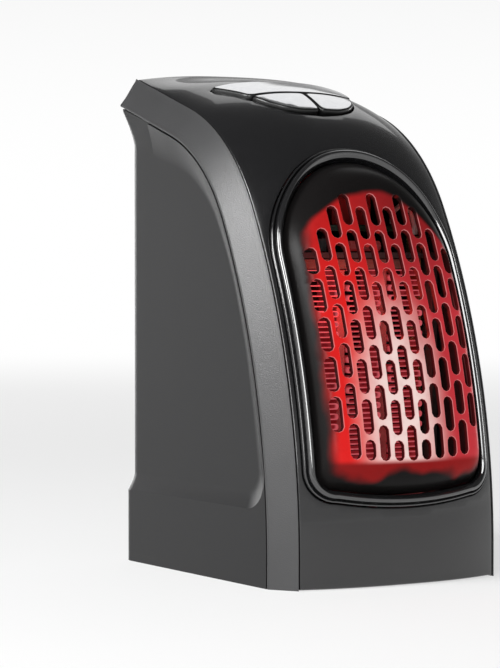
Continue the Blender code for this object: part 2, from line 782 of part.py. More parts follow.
def frame_section(t):
    """The frame's section at t: two bands, with the sunk tray between them."""
    step = FASCIA_HALF_WIDTH + GAP
    tray = [(share * step, crown(share * step, t)) for share in TRAY_COLUMN_SHARES]
    outside = [(-SEAM_HALF_WIDTH, -BAND_DROP), (-step, 0.0)]
    outside += [(x, rise - TRAY_TOP) for x, rise in tray]
    outside += [(step, 0.0), (SEAM_HALF_WIDTH, -BAND_DROP)]
    inner = SEAM_HALF_WIDTH - BAND_WALL
    inside = [(inner, -BAND_DROP), (FASCIA_HALF_WIDTH, -TRAY_BOTTOM)]
    inside += [(x, rise - TRAY_BOTTOM) for x, rise in reversed(tray[1:-1])]
    inside += [(-FASCIA_HALF_WIDTH, -TRAY_BOTTOM), (-inner, -BAND_DROP)]
    return [raised(x, t, offset) for x, offset in outside + inside]


def frame_end(name, t, inset, reach):
    """A wall that closes the frame's foot or its rear end, from the seam up into the tray."""
    bed = TRAY_TOP + TRAY_WALL / 2
    seam = -BAND_DROP + BED / 2
    side = SEAM_HALF_WIDTH - BAND_WALL / 2
    right = [(side, seam)]
    right += [(FASCIA_HALF_WIDTH * s, crown(FASCIA_HALF_WIDTH * s, t) - bed) for s in FLANGE_SHARES]
    outline = right + [(-x, offset) for x, offset in reversed(right[:-1])]
    return prism(name, [raised(x, t, offset) + Vector(inset) for x, offset in outline], reach)


def housing_boss_places():
    """(name, x, height, where the two halves meet) of the four housing screws."""
    places = []
    for side, sign in (("left", -1), ("right", 1)):
        places.append(("lower_" + side, sign * LOWER_BOSS_SPAN, LOWER_BOSS_HEIGHT, LOWER_BOSS_MEET))
        places.append(("upper_" + side, sign * UPPER_BOSS_SPAN, UPPER_BOSS_HEIGHT, UPPER_BOSS_MEET))
    return places


def boss_end(x, z, radius):
    """How far forward a boss along Y can run before its rim leaves the tray's wall."""
    turns = [math.tau * i / BOSS_SIDES for i in range(BOSS_SIDES)]
    rim = [(x + radius * math.cos(turn), z + radius * math.sin(turn)) for turn in turns]
    return max(surface_y(rim_x, rim_z, -TRAY_TOP - BOSS_SINK) for rim_x, rim_z in rim)


def front_frame():
    """Bands beside the fascia, the tray that carries it, and the screw bosses."""
    frame = loft("front_frame", [frame_section(t) for t in stations()], band_grey(), smooth=25)
    join(frame, frame_end("frame foot", 0, (0, 0, FASCIA_LIFT), (0, 0, FLOOR)))
    back = frame_end("frame back", PROFILE_LENGTH, (0, -FASCIA_LIFT, 0), (0, -SHELL_WALL, 0))
    join(frame, back)
    for name, x, height, meet in housing_boss_places():
        z = BASE_Z + height
        start = REAR_Y - meet - GAP
        end = boss_end(x, z, HOUSING_BOSS_RADIUS)
        join(frame, rod("frame boss " + name, (x, z), HOUSING_BOSS_RADIUS, start, end, BOSS_SIDES))
    for sign in (-1, 1):
        join(frame, board_boss(sign))
    combine(frame, window_cutter("frame window"))
    combine(frame, panel_cutter("frame panel", PANEL_TRAY_GAP, TRAY_BOTTOM + OVERRUN))
    for name, x, height, meet in housing_boss_places():
        start = REAR_Y - meet + OVERRUN
        end = REAR_Y - meet - SCREW_LENGTH
        radius = SCREW_RADIUS + BORE_GAP
        hole = rod("frame bore " + name, (x, BASE_Z + height), radius, start, end, SCREW_SIDES)
        combine(frame, hole)
    for sign in (-1, 1):
        combine(frame, board_bore(sign))
    return frame


def panel_frame():
    """Origin on the panel's split line, with axes across, up the slope and out of the panel."""
    lean = profile(PANEL_SPLIT)[2]
    turn = Matrix.Rotation(math.pi / 2 - lean, 4, "X")
    return Matrix.Translation(front_point(0, PANEL_SPLIT)) @ turn


def panel_object(made):
    """Seat an object, modelled in the panel's frame, on the panel."""
    made.data.transform(panel_frame())
    return made


def upright_rod(name, x, y, radius, low, high, sides, look=None):
    """A cylinder along Z, for pieces modelled in the panel's frame."""
    ring = [math.tau * i / sides for i in range(sides)]
    outline = [(x + radius * math.cos(a), y + radius * math.sin(a), low) for a in ring]
    return prism(name, outline, (0, 0, high - low), look)


def board_boss(sign):
    """Boss that hangs from the tray behind the panel, and ends inside the tray's wall."""
    x = sign * BOARD_BOSS_OFFSET
    low = -CONTROL_BOARD_DEPTH + GAP
    t = PANEL_SPLIT + BOARD_BOSS_REACH + BOARD_BOSS_RADIUS
    far = front_point(abs(x) + BOARD_BOSS_RADIUS, t, -TRAY_TOP - BOSS_SINK)
    high = (panel_frame().inverted() @ far).z
    made = upright_rod(f"board boss {sign}", x, BOARD_BOSS_REACH, BOARD_BOSS_RADIUS, low, high, BOSS_SIDES)
    return panel_object(made)


def board_bore(sign):
    x = sign * BOARD_BOSS_OFFSET
    low = -CONTROL_BOARD_DEPTH - OVERRUN
    high = -CONTROL_BOARD_DEPTH + SMALL_SCREW_LENGTH
    radius = SMALL_SCREW_RADIUS + BORE_GAP
    made = upright_rod(f"board bore {sign}", x, BOARD_BOSS_REACH, radius, low, high, SCREW_SIDES)
    return panel_object(made)


def outlet_bezel():
    """Gloss rim between the fascia's window and the grille, closed on itself."""
    outer = GAP
    inner = BEZEL_WIDTH + GAP
    section = (
        (outer, -BEZEL_DEPTH),
        (outer, BEZEL_SHOULDER),
        (outer + BEZEL_ROUND, BEZEL_PROUD),
        (inner - BEZEL_INNER_ROUND, BEZEL_PROUD),
        (inner, BEZEL_SHOULDER),
        (inner, -BEZEL_DEPTH),
    )
    rings = [on_front(window_outline(inset), proud) for inset, proud in section]
    return loft("outlet_bezel", rings, gloss_black(), closed=True, smooth=35)


def grille_outline(share):
    """Between the grille's rim at share 0 and the edge of its domed field at share 1."""
    inset = BEZEL_WIDTH + 2 * GAP
    rim = (
        WINDOW_HALF_WIDTH - inset,
        WINDOW_ARCH_START,
        WINDOW_ARCH_RISE - inset,
        WINDOW_BOTTOM + inset,
        WINDOW_CORNER - inset,
    )
    half = DOME_HALF_WIDTH
    field = (half, SLOT_FIELD_ARCH_START, half, SLOT_FIELD_BOTTOM, SLOT_FIELD_CORNER)
    return arch_outline(*(a + (b - a) * share for a, b in zip(rim, field)))


def field_outline(share):
    """The domed field's outline, drawn in to its middle line at share 1."""
    inset = DOME_HALF_WIDTH * share
    half = DOME_HALF_WIDTH - inset
    low = SLOT_FIELD_BOTTOM + inset
    return arch_outline(half, SLOT_FIELD_ARCH_START, half, low, SLOT_FIELD_CORNER - inset)


def grille_skin(edit, sink, flanks, fields):
    """Rows of vertices from the rim to the middle line, the whole skin sunk by the given amount."""
    rows = []
    for along, lift in flanks:
        proud = -GRILLE_RIM_DROP + (GRILLE_RIM_DROP + GRILLE_PROUD) * lift - sink
        rows.append([edit.verts.new(point) for point in on_front(grille_outline(along), proud)])
    for share in fields:
        points = on_front(field_outline(share), GRILLE_PROUD - sink)
        rows.append([edit.verts.new(point) for point in points])
    return rows


def outlet_grille():
    """Domed grille: two skins that meet at the rim, with the slots cut through them."""
    edit = bmesh.new()
    top = grille_skin(edit, 0.0, FLANK_SHARES, FIELD_SHARES)
    under = grille_skin(edit, GRILLE_WALL, UNDER_FLANK_SHARES, UNDER_FIELD_SHARES)
    count = len(top[0])
    bands = list(zip(top, top[1:])) + list(zip(under, under[1:])) + [(top[0], under[0])]
    for low, high in bands:
        for i in range(count):
            j = (i + 1) % count
            edit.faces.new((low[i], low[j], high[j], high[i]))
    bmesh.ops.remove_doubles(edit, verts=top[-1] + under[-1], dist=GAP * GAP)
    bmesh.ops.dissolve_degenerate(edit, dist=GAP * GAP, edges=edit.edges)
    bmesh.ops.triangulate(edit, faces=edit.faces)
    grille = finish("outlet_grille", edit, grille_black(), smooth=40)
    return combine(grille, grille_slots())


def slot_runs(column):
    """(start, end) up the surface of each slot in a column counted from the middle one.

    Odd columns are staggered downwards, so that their lowest slot is cut short.
    """
    x = column * SLOT_PITCH
    reach = abs(x) + SLOT_WIDTH / 2
    half = SLOT_FIELD_HALF_WIDTH
    arch = (1 - (reach / half) ** SLOT_ARCH_POWER) ** (1 / SLOT_ARCH_POWER)
    top = SLOT_ARCH_START + SLOT_ARCH_RISE * arch - SLOT_EDGE
    start = SLOT_FIELD_BOTTOM + WINDOW_BOTTOM_SAG * (x / half) ** 2 + SLOT_EDGE
    beyond = max(0.0, reach - half + SLOT_FIELD_CORNER)
    low = start + SLOT_FIELD_CORNER - math.sqrt(SLOT_FIELD_CORNER**2 - beyond**2)
    if column % 2:
        start -= SLOT_RISE * SLOT_STAGGER_SHARE
    runs = []
    while start < top:
        run = (max(start, low), min(start + SLOT_LENGTH, top))
        if run[1] - run[0] > SLOT_LENGTH * SHORTEST_SLOT_SHARE:
            runs.append(run)
        start += SLOT_RISE
    return runs


def slot_outline(x, start, end):
    """Rounded slot: two straight sides and two ends of three chords."""
    half = SLOT_WIDTH / 2
    turns = [math.pi * i / SLOT_END_STEPS for i in range(SLOT_END_STEPS + 1)]
    upper = [(x + half * math.cos(a), end - half + half * math.sin(a)) for a in turns]
    lower = [(x - half * math.cos(a), start + half - half * math.sin(a)) for a in turns]
    return upper + lower


def grille_slots():
    edit = bmesh.new()
    side = SLOT_COLUMNS // 2
    for column in range(-side, side + 1):
        for start, end in slot_runs(column):
            outline = slot_outline(column * SLOT_PITCH, start, end)
            low = on_front(outline, GRILLE_PROUD - GRILLE_WALL - OVERRUN)
            add_loft(edit, [low, on_front(outline, GRILLE_PROUD + OVERRUN)])
    bmesh.ops.triangulate(edit, faces=edit.faces)
    return finish("grille slots", edit, None)


def display_window():
    """Clear plate over the display, proud of the fascia."""
    edit = bmesh.new()

    def place(across, along, proud):
        t = panel_t(along)
        if along == DISPLAY_ROW_SHARES[0]:
            t += GAP / 2
        return front_point(across * panel_half_width(panel_t(along)), t, proud)

    rows = DISPLAY_ROW_SHARES
    swept_plate(edit, DISPLAY_COLUMN_SHARES, rows, place, PANEL_PROUD, PANEL_PROUD - PANEL_WALL)
    return finish("display_window", edit, smoked())


def key(side, sign):
    """One key: half of the shield's front, with a stem down to its switch."""
    edit = bmesh.new()

    def place(across, along, proud):
        t = panel_t(along)
        if along == KEY_ROW_SHARES[-1]:
            t -= GAP / 2
        wide = panel_half_width(panel_t(along)) - GAP / 2
        return front_point(sign * (GAP / 2 + across * wide), t, proud)

    rows = KEY_ROW_SHARES
    swept_plate(edit, KEY_COLUMN_SHARES, rows, place, PANEL_PROUD, PANEL_PROUD - PANEL_WALL)
    origin = key_centre(sign)
    made = finish("key_" + side, edit, smoked(), origin)
    half = KEY_STEM / 2
    x = sign * KEY_CENTRE
    low = -CONTROL_BOARD_DEPTH + GAP + KEY_SWITCH_HEIGHT + KEY_PLUNGER_HEIGHT + KEY_TRAVEL + GAP
    stem = box(
        f"key stem {side}",
        (x - half, -KEY_SET_FORWARD - half, low),
        (x + half, -KEY_SET_FORWARD + half, -PANEL_WALL / 2),
    )
    return join(made, panel_object(stem))


def key_centre(sign):
    return panel_frame() @ Vector((sign * KEY_CENTRE, -KEY_SET_FORWARD, 0))


def control_board():
    """Board parallel to the panel, screwed to the frame behind the display."""
    top = -CONTROL_BOARD_DEPTH
    made = box(
        "control_board",
        (-BOARD_HALF_WIDTH, -CONTROL_BOARD_FRONT, top - BOARD_WALL),
        (BOARD_HALF_WIDTH, CONTROL_BOARD_REAR, top),
        board_green(),
    )
    panel_object(made)
    for sign in (-1, 1):
        radius = SMALL_SCREW_RADIUS + BORE_GAP
        x = sign * BOARD_BOSS_OFFSET
        low = top - BOARD_WALL - OVERRUN
        hole = upright_rod(f"board hole {sign}", x, BOARD_BOSS_REACH, radius, low, top + OVERRUN, SCREW_SIDES)
        combine(made, panel_object(hole))
    return made


def display_module():
    low = -CONTROL_BOARD_DEPTH + GAP
    high = -PANEL_WALL + PANEL_PROUD - MODULE_CLEARANCE
    made = box(
        "display_module",
        (-MODULE_HALF_WIDTH, MODULE_FRONT, low),
        (MODULE_HALF_WIDTH, MODULE_REAR, high),
        inner_black(),
    )
    return panel_object(made)


def key_switch(side, sign):
    x = sign * KEY_CENTRE
    half = KEY_SWITCH_SIZE / 2
    low = -CONTROL_BOARD_DEPTH + GAP
    top = low + KEY_SWITCH_HEIGHT
    made = box(
        "key_switch_" + side,
        (x - half, -KEY_SET_FORWARD - half, low),
        (x + half, -KEY_SET_FORWARD + half, top),
        inner_black(),
    )
    plunger = upright_rod(
        "plunger " + side,
        x,
        -KEY_SET_FORWARD,
        KEY_PLUNGER_RADIUS,
        top - KEY_SWITCH_HEIGHT / 2,
        top + KEY_PLUNGER_HEIGHT,
        SCREW_SIDES,
    )
    panel_object(made)
    return join(made, panel_object(plunger))


def board_screw(side, sign):
    x = sign * BOARD_BOSS_OFFSET
    head_top = -CONTROL_BOARD_DEPTH - BOARD_WALL - GAP
    shank = upright_rod(
        "board_screw_" + side,
        x,
        BOARD_BOSS_REACH,
        SMALL_SCREW_RADIUS,
        head_top - SMALL_SCREW_HEAD_HEIGHT / 2,
        -CONTROL_BOARD_DEPTH + SMALL_SCREW_LENGTH - GAP,
        SCREW_SIDES,
        steel(),
    )
    head = upright_rod(
        "board screw head " + side,
        x,
        BOARD_BOSS_REACH,
        SMALL_SCREW_HEAD_RADIUS,
        head_top - SMALL_SCREW_HEAD_HEIGHT,
        head_top,
        SCREW_SIDES,
    )
    panel_object(shank)
    return join(shank, panel_object(head))


def seam_curve(inset):
    """Points up the seam, drawn in from it, from the foot to the rear end."""
    return [raised(0, t, -BAND_DROP - inset) for t in stations()]


def plan_outline(half, rear, radius, z):
    """A plan section with rounded rear corners that runs past the front."""
    front = REAR_Y - FRONT_DEPTH - BEYOND_FRONT
    points = [(-half, front, z), (half, front, z)]
    rising = range(PLAN_CORNER_STEPS + 1)
    for sign, turns in ((1, rising), (-1, reversed(rising))):
        for i in turns:
            turn = math.pi * i / PLAN_CORNER_STEPS / 2
            x = half - radius + radius * math.cos(turn)
            points.append((sign * x, rear - radius + radius * math.sin(turn), z))
    return points


def shell_block():
    """The rear shell's outer form: everything behind the seam, with rounded rear corners."""
    wide = SEAM_HALF_WIDTH + OVERRUN
    seam = seam_curve(GAP)
    rear_top = seam[-1] + Vector((0, OVERRUN, 0))
    rear_base = Vector((0, REAR_Y + OVERRUN, BASE_Z))
    side = [point - Vector((wide, 0, 0)) for point in seam + [rear_top, rear_base]]
    shell = prism("rear_shell", side, (2 * wide, 0, 0), shell_grey())
    top = seam[-1].z
    heights = (
        (BASE_Z - OVERRUN, CORNER_RADIUS),
        (top - TOP_CORNER_FADE, CORNER_RADIUS),
        (top, TOP_CORNER_RADIUS),
        (top + OVERRUN, TOP_CORNER_RADIUS),
    )
    rings = [plan_outline(SEAM_HALF_WIDTH, REAR_Y, radius, z) for z, radius in heights]
    return combine(shell, loft("shell plan", rings), "INTERSECT")


def recess_outline(share, x):
    """Outline in depth and height of the side recess: its foot at share 0, its upper edge at share 1."""
    floor = RECESS_FOOT + (RECESS_EDGE - RECESS_FOOT) * share
    radius = RECESS_FOOT_RADIUS + (RECESS_EDGE_RADIUS - RECESS_FOOT_RADIUS) * share
    rising = []
    for t in stations():
        ramp = RAMP_WIDTH * straight(RAMP_SHARES, t / PROFILE_LENGTH)
        rising.append(raised(x, t, -BAND_DROP - GAP - ramp * (1 - share)))
    rising = [point for point in rising if point.z > BASE_Z + RECESS_FOOT + RECESS_CORNER_RISE]
    lean = (rising[1].y - rising[0].y) / (rising[1].z - rising[0].z)
    low = BASE_Z + floor
    foot_y = rising[0].y + lean * (low + radius - rising[0].z)
    corner = []
    for i in range(CORNER_STEPS + 1):
        turn = math.pi * i / CORNER_STEPS / 2
        y = foot_y + radius * (1 - math.sin(turn))
        corner.append(Vector((x, y, low + radius * (1 - math.cos(turn)))))
    beyond = REAR_Y + 2 * OVERRUN
    slope = math.cos(TOP_LEAN) / math.sin(TOP_LEAN)
    last = rising[-1]
    end = Vector((x, beyond, last.z + (beyond - last.y) * slope))
    return [Vector((x, beyond, low))] + corner + rising + [end]


def recess_cutter(name, sign):
    """The sunk panel of one side, with ramped edges, that runs out round the rear corner."""
    reach = CORNER_RADIUS / RECESS_DEPTH
    levels = (-reach, 0.0, 1.0, RECESS_CUT_SHARE)
    rings = [recess_outline(s, sign * (RECESS_HALF_WIDTH + RECESS_DEPTH * s)) for s in levels]
    cutter = loft(name, rings)
    low = BASE_Z - OVERRUN
    radius = CORNER_RADIUS + 2 * CORNER_OVERLAP
    rear = REAR_Y + CORNER_OVERLAP
    core = [plan_outline(RECESS_HALF_WIDTH, rear, radius, z) for z in (low, ABOVE_TOP)]
    return combine(cutter, loft(name + " core", core))


def rear_shell():
    """Sides, back and rear part of the base."""
    shell = shell_block()
    for side, sign in (("left", -1), ("right", 1)):
        combine(shell, recess_cutter("recess " + side, sign))
    front = REAR_Y - FRONT_DEPTH - BEYOND_FRONT
    floor = BASE_Z + FLOOR
    cavity = box(
        "cavity",
        (-CAVITY_HALF_WIDTH, front, floor),
        (CAVITY_HALF_WIDTH, WALL_INSIDE, ABOVE_TOP),
    )
    combine(shell, cavity)
    wide = SEAM_HALF_WIDTH - SHELL_WALL
    low_cavity = box(
        "low cavity",
        (-wide, front, floor),
        (wide, REAR_Y - LOW_CAVITY_SET_BACK, BASE_Z + LOW_CAVITY_TOP),
    )
    combine(shell, low_cavity)
    add_shell_bosses(shell)
    cut_shell_openings(shell)
    return shell


def add_shell_bosses(shell):
    back = REAR_Y - SHELL_WALL / 2
    for name, x, height, meet in housing_boss_places():
        z = BASE_Z + height
        join(shell, rod("shell boss " + name, (x, z), HOUSING_BOSS_RADIUS, back, REAR_Y - meet, BOSS_SIDES))
    for x, z in post_places():
        end = REAR_Y - DUCT_PLATE_REAR + WALL_STAND_OFF + GAP
        join(shell, rod(f"post {x:.3f} {z:.3f}", (x, z), POST_RADIUS, back, end, BOSS_SIDES))
    for side, sign in (("left", -1), ("right", 1)):
        outer = CAVITY_HALF_WIDTH + SHELL_WALL / 2
        inner = CAVITY_HALF_WIDTH - RAIL_WIDTH
        top = BASE_Z + POWER_BOARD_HEIGHT - GAP
        low = (min(sign * outer, sign * inner), -POWER_BOARD_FRONT, top - RAIL_HEIGHT)
        high = (max(sign * outer, sign * inner), -POWER_BOARD_REAR, top)
        join(shell, box("rail " + side, low, high))


def cut_shell_openings(shell):
    for name, x, height, meet in housing_boss_places():
        z = BASE_Z + height
        well = REAR_Y - meet + BOSS_FLOOR
        radius = SCREW_HEAD_RADIUS + BORE_GAP
        combine(shell, rod("screw well " + name, (x, z), radius, REAR_Y + OVERRUN, well, BOSS_SIDES))
        end = REAR_Y - meet - OVERRUN
        radius = SCREW_RADIUS + BORE_GAP
        combine(shell, rod("screw hole " + name, (x, z), radius, REAR_Y, end, SCREW_SIDES))
    start, end = REAR_Y + OVERRUN, WALL_INSIDE - OVERRUN
    combine(shell, rod("plug hole", (0, 0), HUB_RADIUS + GAP, start, end, PLUG_SIDES))
    combine(shell, inlet_slots())
    _, length, height = SWITCH_BODY
    z = BASE_Z + SWITCH_HEIGHT
    cut = box(
        "switch opening",
        (CAVITY_HALF_WIDTH - OVERRUN, -SWITCH_DEPTH - length / 2 - GAP, z - height / 2 - GAP),
        (SEAM_HALF_WIDTH + OVERRUN, -SWITCH_DEPTH + length / 2 + GAP, z + height / 2 + GAP),
    )
    combine(shell, cut)


def inlet_slots():
    edit = bmesh.new()
    side = INLET_COLUMNS // 2
    half = INLET_SLOT_WIDTH / 2
    for column in range(-side, side + 1):
        for height in INLET_HEIGHTS:
            low = BASE_Z + height - INLET_SLOT_LENGTH / 2
            outline = slot_outline(0, 0, INLET_SLOT_LENGTH)
            scale = half / (SLOT_WIDTH / 2)
            shape = [(column * INLET_PITCH + x * scale, low + t) for x, t in outline]
            rings = [[(x, y, z) for x, z in shape] for y in (REAR_Y + OVERRUN, WALL_INSIDE - OVERRUN)]
            add_loft(edit, rings)
    return finish("inlet slots", edit, None)


def housing_screw(name, x, height, meet):
    """Pan-head screw that goes in from the back."""
    head = REAR_Y - meet + BOSS_FLOOR + GAP
    tip = REAR_Y - meet - SCREW_LENGTH + GAP
    outline = [
        (0, head + SCREW_HEAD_HEIGHT),
        (SCREW_HEAD_RADIUS * SLOT_SHARE, head + SCREW_HEAD_HEIGHT),
        (SCREW_HEAD_RADIUS, head + SCREW_HEAD_HEIGHT / 2),
        (SCREW_HEAD_RADIUS, head),
        (SCREW_RADIUS, head),
        (SCREW_RADIUS, tip + SCREW_RADIUS),
        (0, tip),
    ]
    centre = (x, BASE_Z + height)
    return turned("housing_screw_" + name, outline, centre, SCREW_SIDES, steel(), closed=False)


def plug_base():
    """Round face on the wall and the hub that turns in the rear shell."""
    groove = WALL_INSIDE - GAP
    outline = [
        (0, 0),
        (PLUG_FACE_RADIUS, 0),
        (PLUG_FACE_RADIUS, HUB_BACK),
        (HUB_RADIUS, HUB_BACK),
        (HUB_RADIUS, groove),
        (HUB_RADIUS - GROOVE_DEPTH, groove),
        (HUB_RADIUS - GROOVE_DEPTH, groove - GROOVE_WIDTH),
        (HUB_RADIUS, groove - GROOVE_WIDTH),
        (HUB_RADIUS, HUB_FRONT),
        (0, HUB_FRONT),
    ]
    base = turned("plug_base", outline, (0, 0), PLUG_SIDES, inner_black(), closed=False)
    for sign in (-1, 1):
        start, end = OVERRUN, HUB_FRONT - OVERRUN
        radius = PIN_RADIUS + BORE_GAP
        combine(base, rod(f"pin bore {sign}", (sign * PIN_X, 0), radius, start, end, PIN_SIDES))
    return base


def plug_pin(side, sign):
    outline = [
        (0, PIN_LENGTH),
        (PIN_RADIUS - PIN_TIP, PIN_LENGTH),
        (PIN_RADIUS, PIN_LENGTH - PIN_TIP),
        (PIN_RADIUS, HUB_FRONT),
        (0, HUB_FRONT),
    ]
    return turned("plug_pin_" + side, outline, (sign * PIN_X, 0), PIN_SIDES, nickel(), closed=False)


def arc_points(radius, start, end, steps, y):
    turns = [start + (end - start) * i / steps for i in range(steps + 1)]
    return [(radius * math.cos(a), y, radius * math.sin(a)) for a in turns]


def plug_retainer():
    """Open spring ring in the hub's groove."""
    groove = WALL_INSIDE - GAP
    inner = HUB_RADIUS - GROOVE_DEPTH + GAP
    outer = inner + RETAINER_WIDTH
    half = RETAINER_OPENING / 2
    start, end = -math.pi / 2 + half, math.tau - math.pi / 2 - half
    y = groove - GAP
    outline = arc_points(outer, start, end, RETAINER_STEPS, y)
    outline += arc_points(inner, end, start, RETAINER_STEPS, y)
    return prism("plug_retainer", outline, (0, -(GROOVE_WIDTH - 2 * GAP), 0), steel())


def contact_ring(name, radius, sign):
    """Slip ring on the hub's inner end, with a tab to its pin."""
    back = HUB_FRONT - GAP
    front = back - RING_WALL
    half = RING_WIDTH / 2
    ring = tube(name, (0, 0), radius + half, radius - half, back, front, PLUG_SIDES, brass())
    near = PIN_X + RING_TAB_REACH if radius < PIN_X else PIN_X - RING_TAB_REACH
    span = sorted((sign * radius, sign * near))
    tab = box(
        name + " tab",
        (span[0], front + RING_TAB_INSET, -RING_TAB_WIDTH / 2),
        (span[1], back - RING_TAB_INSET, RING_TAB_WIDTH / 2),
    )
    return join(ring, tab)


def brush_places():
    return (("inner", -INNER_RING_RADIUS), ("outer", OUTER_RING_RADIUS))


def brush_back():
    return HUB_FRONT - GAP - RING_WALL - GAP


def contact_carrier():
    """Bridge over the hub that holds the two brushes, on legs from the rear wall."""
    retainer = HUB_RADIUS - GROOVE_DEPTH + GAP + RETAINER_WIDTH
    inside = retainer + BED
    outside = inside + CARRIER_LEG
    back = brush_back() - BRUSH_REACH
    front = back - CARRIER_WALL
    leg = WALL_INSIDE - GAP
    outline = [
        (-outside, leg),
        (-outside, front),
        (outside, front),
        (outside, leg),
        (inside, leg),
        (inside, back),
        (-inside, back),
        (-inside, leg),
    ]
    low = [(x, y, -CARRIER_HALF_HEIGHT) for x, y in outline]
    carrier = prism("contact_carrier", low, (0, 0, 2 * CARRIER_HALF_HEIGHT), heat_plastic())
    for name, x in brush_places():
        half = BRUSH_WIDTH / 2 + BORE_GAP
        high = BRUSH_HEIGHT / 2 + BORE_GAP
        cut = box("pocket " + name, (x - half, front - OVERRUN, -high), (x + half, back + OVERRUN, high))
        combine(carrier, cut)
    return carrier


def contact_brush(name, x):
    back = brush_back()
    half = BRUSH_WIDTH / 2
    low = (x - half, back - BRUSH_LENGTH, -BRUSH_HEIGHT / 2)
    return box("contact_brush_" + name, low, (x + half, back, BRUSH_HEIGHT / 2), brass())


def post_places():
    return [(sx * POST_SPAN, FAN_Z + sz * POST_RISE) for sx in (-1, 1) for sz in (-1, 1)]


def rectangle(half_width, half_height, y):
    corners = ((-1, -1), (1, -1), (1, 1), (-1, 1))
    return [(sx * half_width, y, FAN_Z + sz * half_height) for sx, sz in corners]


def fan_shroud():
    """Square duct in front, fan ring behind it, and a spider that carries the motor."""
    duct = loft(
        "fan_shroud",
        [
            rectangle(DUCT_HALF_WIDTH, DUCT_HALF_HEIGHT, -DUCT_FRONT),
            rectangle(DUCT_HALF_WIDTH, DUCT_HALF_HEIGHT, -DUCT_PLATE_REAR),
        ],
        inner_black(),
    )
    inside = loft(
        "duct inside",
        [
            rectangle(DUCT_HALF_WIDTH - DUCT_WALL, DUCT_HALF_HEIGHT - DUCT_WALL, -DUCT_FRONT - OVERRUN),
            rectangle(DUCT_HALF_WIDTH - DUCT_WALL, DUCT_HALF_HEIGHT - DUCT_WALL, -DUCT_PLATE_FRONT),
        ],
    )
    combine(duct, inside)
    bore = FAN_RADIUS + FAN_TIP_GAP
    start, end = -DUCT_PLATE_REAR - BED, -DUCT_REAR
    join(duct, rod("fan ring", (0, FAN_Z), bore + DUCT_WALL, start, end, FAN_SIDES))
    combine(duct, rod("fan bore", (0, FAN_Z), bore, start - OVERRUN, end + OVERRUN, FAN_SIDES))
    reach = bore + DUCT_WALL / 2
    for arm in range(SPIDER_ARMS):
        join(duct, spider_arm(arm, reach))
    front, back = -DUCT_REAR - SPIDER_WALL, -DUCT_REAR
    join(duct, rod("spider hub", (0, FAN_Z), SPIDER_HUB_RADIUS, front, back, MOTOR_SIDES))
    radius = SMALL_SCREW_RADIUS + BORE_GAP
    holes = [((0, FAN_Z), BEARING_RADIUS + BED)]
    holes += [((sign * MOTOR_SCREW_SPAN, FAN_Z), radius) for sign in (-1, 1)]
    combine(duct, hole_set("spider holes", holes, front - OVERRUN, back + OVERRUN, BOSS_SIDES))
    for sign in (-1, 1):
        combine(duct, terminal_slot(sign))
    return duct


def spider_arm(number, reach):
    turn = math.tau * number / SPIDER_ARMS + math.pi / 2
    half = SPIDER_ARM_WIDTH / 2
    front = -DUCT_REAR - SPIDER_WALL + SPIDER_INSET
    root = SPIDER_HUB_RADIUS * SPIDER_ROOT_SHARE
    outline = [(root, -half), (reach, -half), (reach, half), (root, half)]
    points = []
    for along, across in outline:
        x = along * math.cos(turn) - across * math.sin(turn)
        z = along * math.sin(turn) + across * math.cos(turn)
        points.append((x, front, FAN_Z + z))
    return prism(f"spider arm {number}", points, (0, SPIDER_WALL - 2 * SPIDER_INSET, 0))


def motor_front():
    return -DUCT_REAR + GAP


def motor_can():
    """Motor housing: a hollow can with a bearing seat in each end."""
    front = motor_front()
    back = front + MOTOR_LENGTH
    seat = BEARING_RADIUS + BORE_GAP
    inside = MOTOR_RADIUS - MOTOR_WALL
    outline = [
        (seat, front),
        (MOTOR_RADIUS, front),
        (MOTOR_RADIUS, back),
        (seat, back),
        (seat, back - MOTOR_WALL),
        (inside, back - MOTOR_WALL),
        (inside, front + MOTOR_WALL),
        (seat, front + MOTOR_WALL),
    ]
    can = turned("motor_can", outline, (0, FAN_Z), MOTOR_SIDES, steel())
    for sign in (-1, 1):
        centre = (sign * MOTOR_SCREW_SPAN, FAN_Z)
        radius = SMALL_SCREW_RADIUS + BORE_GAP
        start, end = front - OVERRUN, front + MOTOR_WALL + BED / 2
        combine(can, rod(f"can screw hole {sign}", centre, radius, start, end, SCREW_SIDES))
    return can


def motor_bearing(name, start, end):
    inner = SHAFT_RADIUS + BORE_GAP
    centre = (0, FAN_Z)
    name = "motor_bearing_" + name
    return tube(name, centre, BEARING_RADIUS, inner, start, end, BOSS_SIDES, brass())


def motor_rotor():
    """Armature on its shaft, which carries the fan in front."""
    front = motor_front()
    back = front + MOTOR_LENGTH
    core_front = front + BEARING_LENGTH + ROTOR_END_GAP
    core_back = back - BEARING_LENGTH - ROTOR_END_GAP
    tip = -FAN_REAR - FAN_DEPTH
    outline = [
        (0, tip),
        (SHAFT_RADIUS, tip),
        (SHAFT_RADIUS, core_front),
        (ROTOR_RADIUS, core_front),
        (ROTOR_RADIUS, core_back),
        (SHAFT_RADIUS, core_back),
        (SHAFT_RADIUS, back + SHAFT_TAIL),
        (0, back + SHAFT_TAIL),
    ]
    return turned("motor_rotor", outline, (0, FAN_Z), SCREW_SIDES, steel(), closed=False)


def motor_screw(side, sign):
    head = -DUCT_REAR - SPIDER_WALL - GAP
    tip = motor_front() + MOTOR_WALL
    outline = [
        (0, head - SMALL_SCREW_HEAD_HEIGHT),
        (SMALL_SCREW_HEAD_RADIUS, head - SMALL_SCREW_HEAD_HEIGHT),
        (SMALL_SCREW_HEAD_RADIUS, head),
        (SMALL_SCREW_RADIUS, head),
        (SMALL_SCREW_RADIUS, tip),
        (0, tip),
    ]
    centre = (sign * MOTOR_SCREW_SPAN, FAN_Z)
    return turned("motor_screw_" + side, outline, centre, SCREW_SIDES, steel(), closed=False)


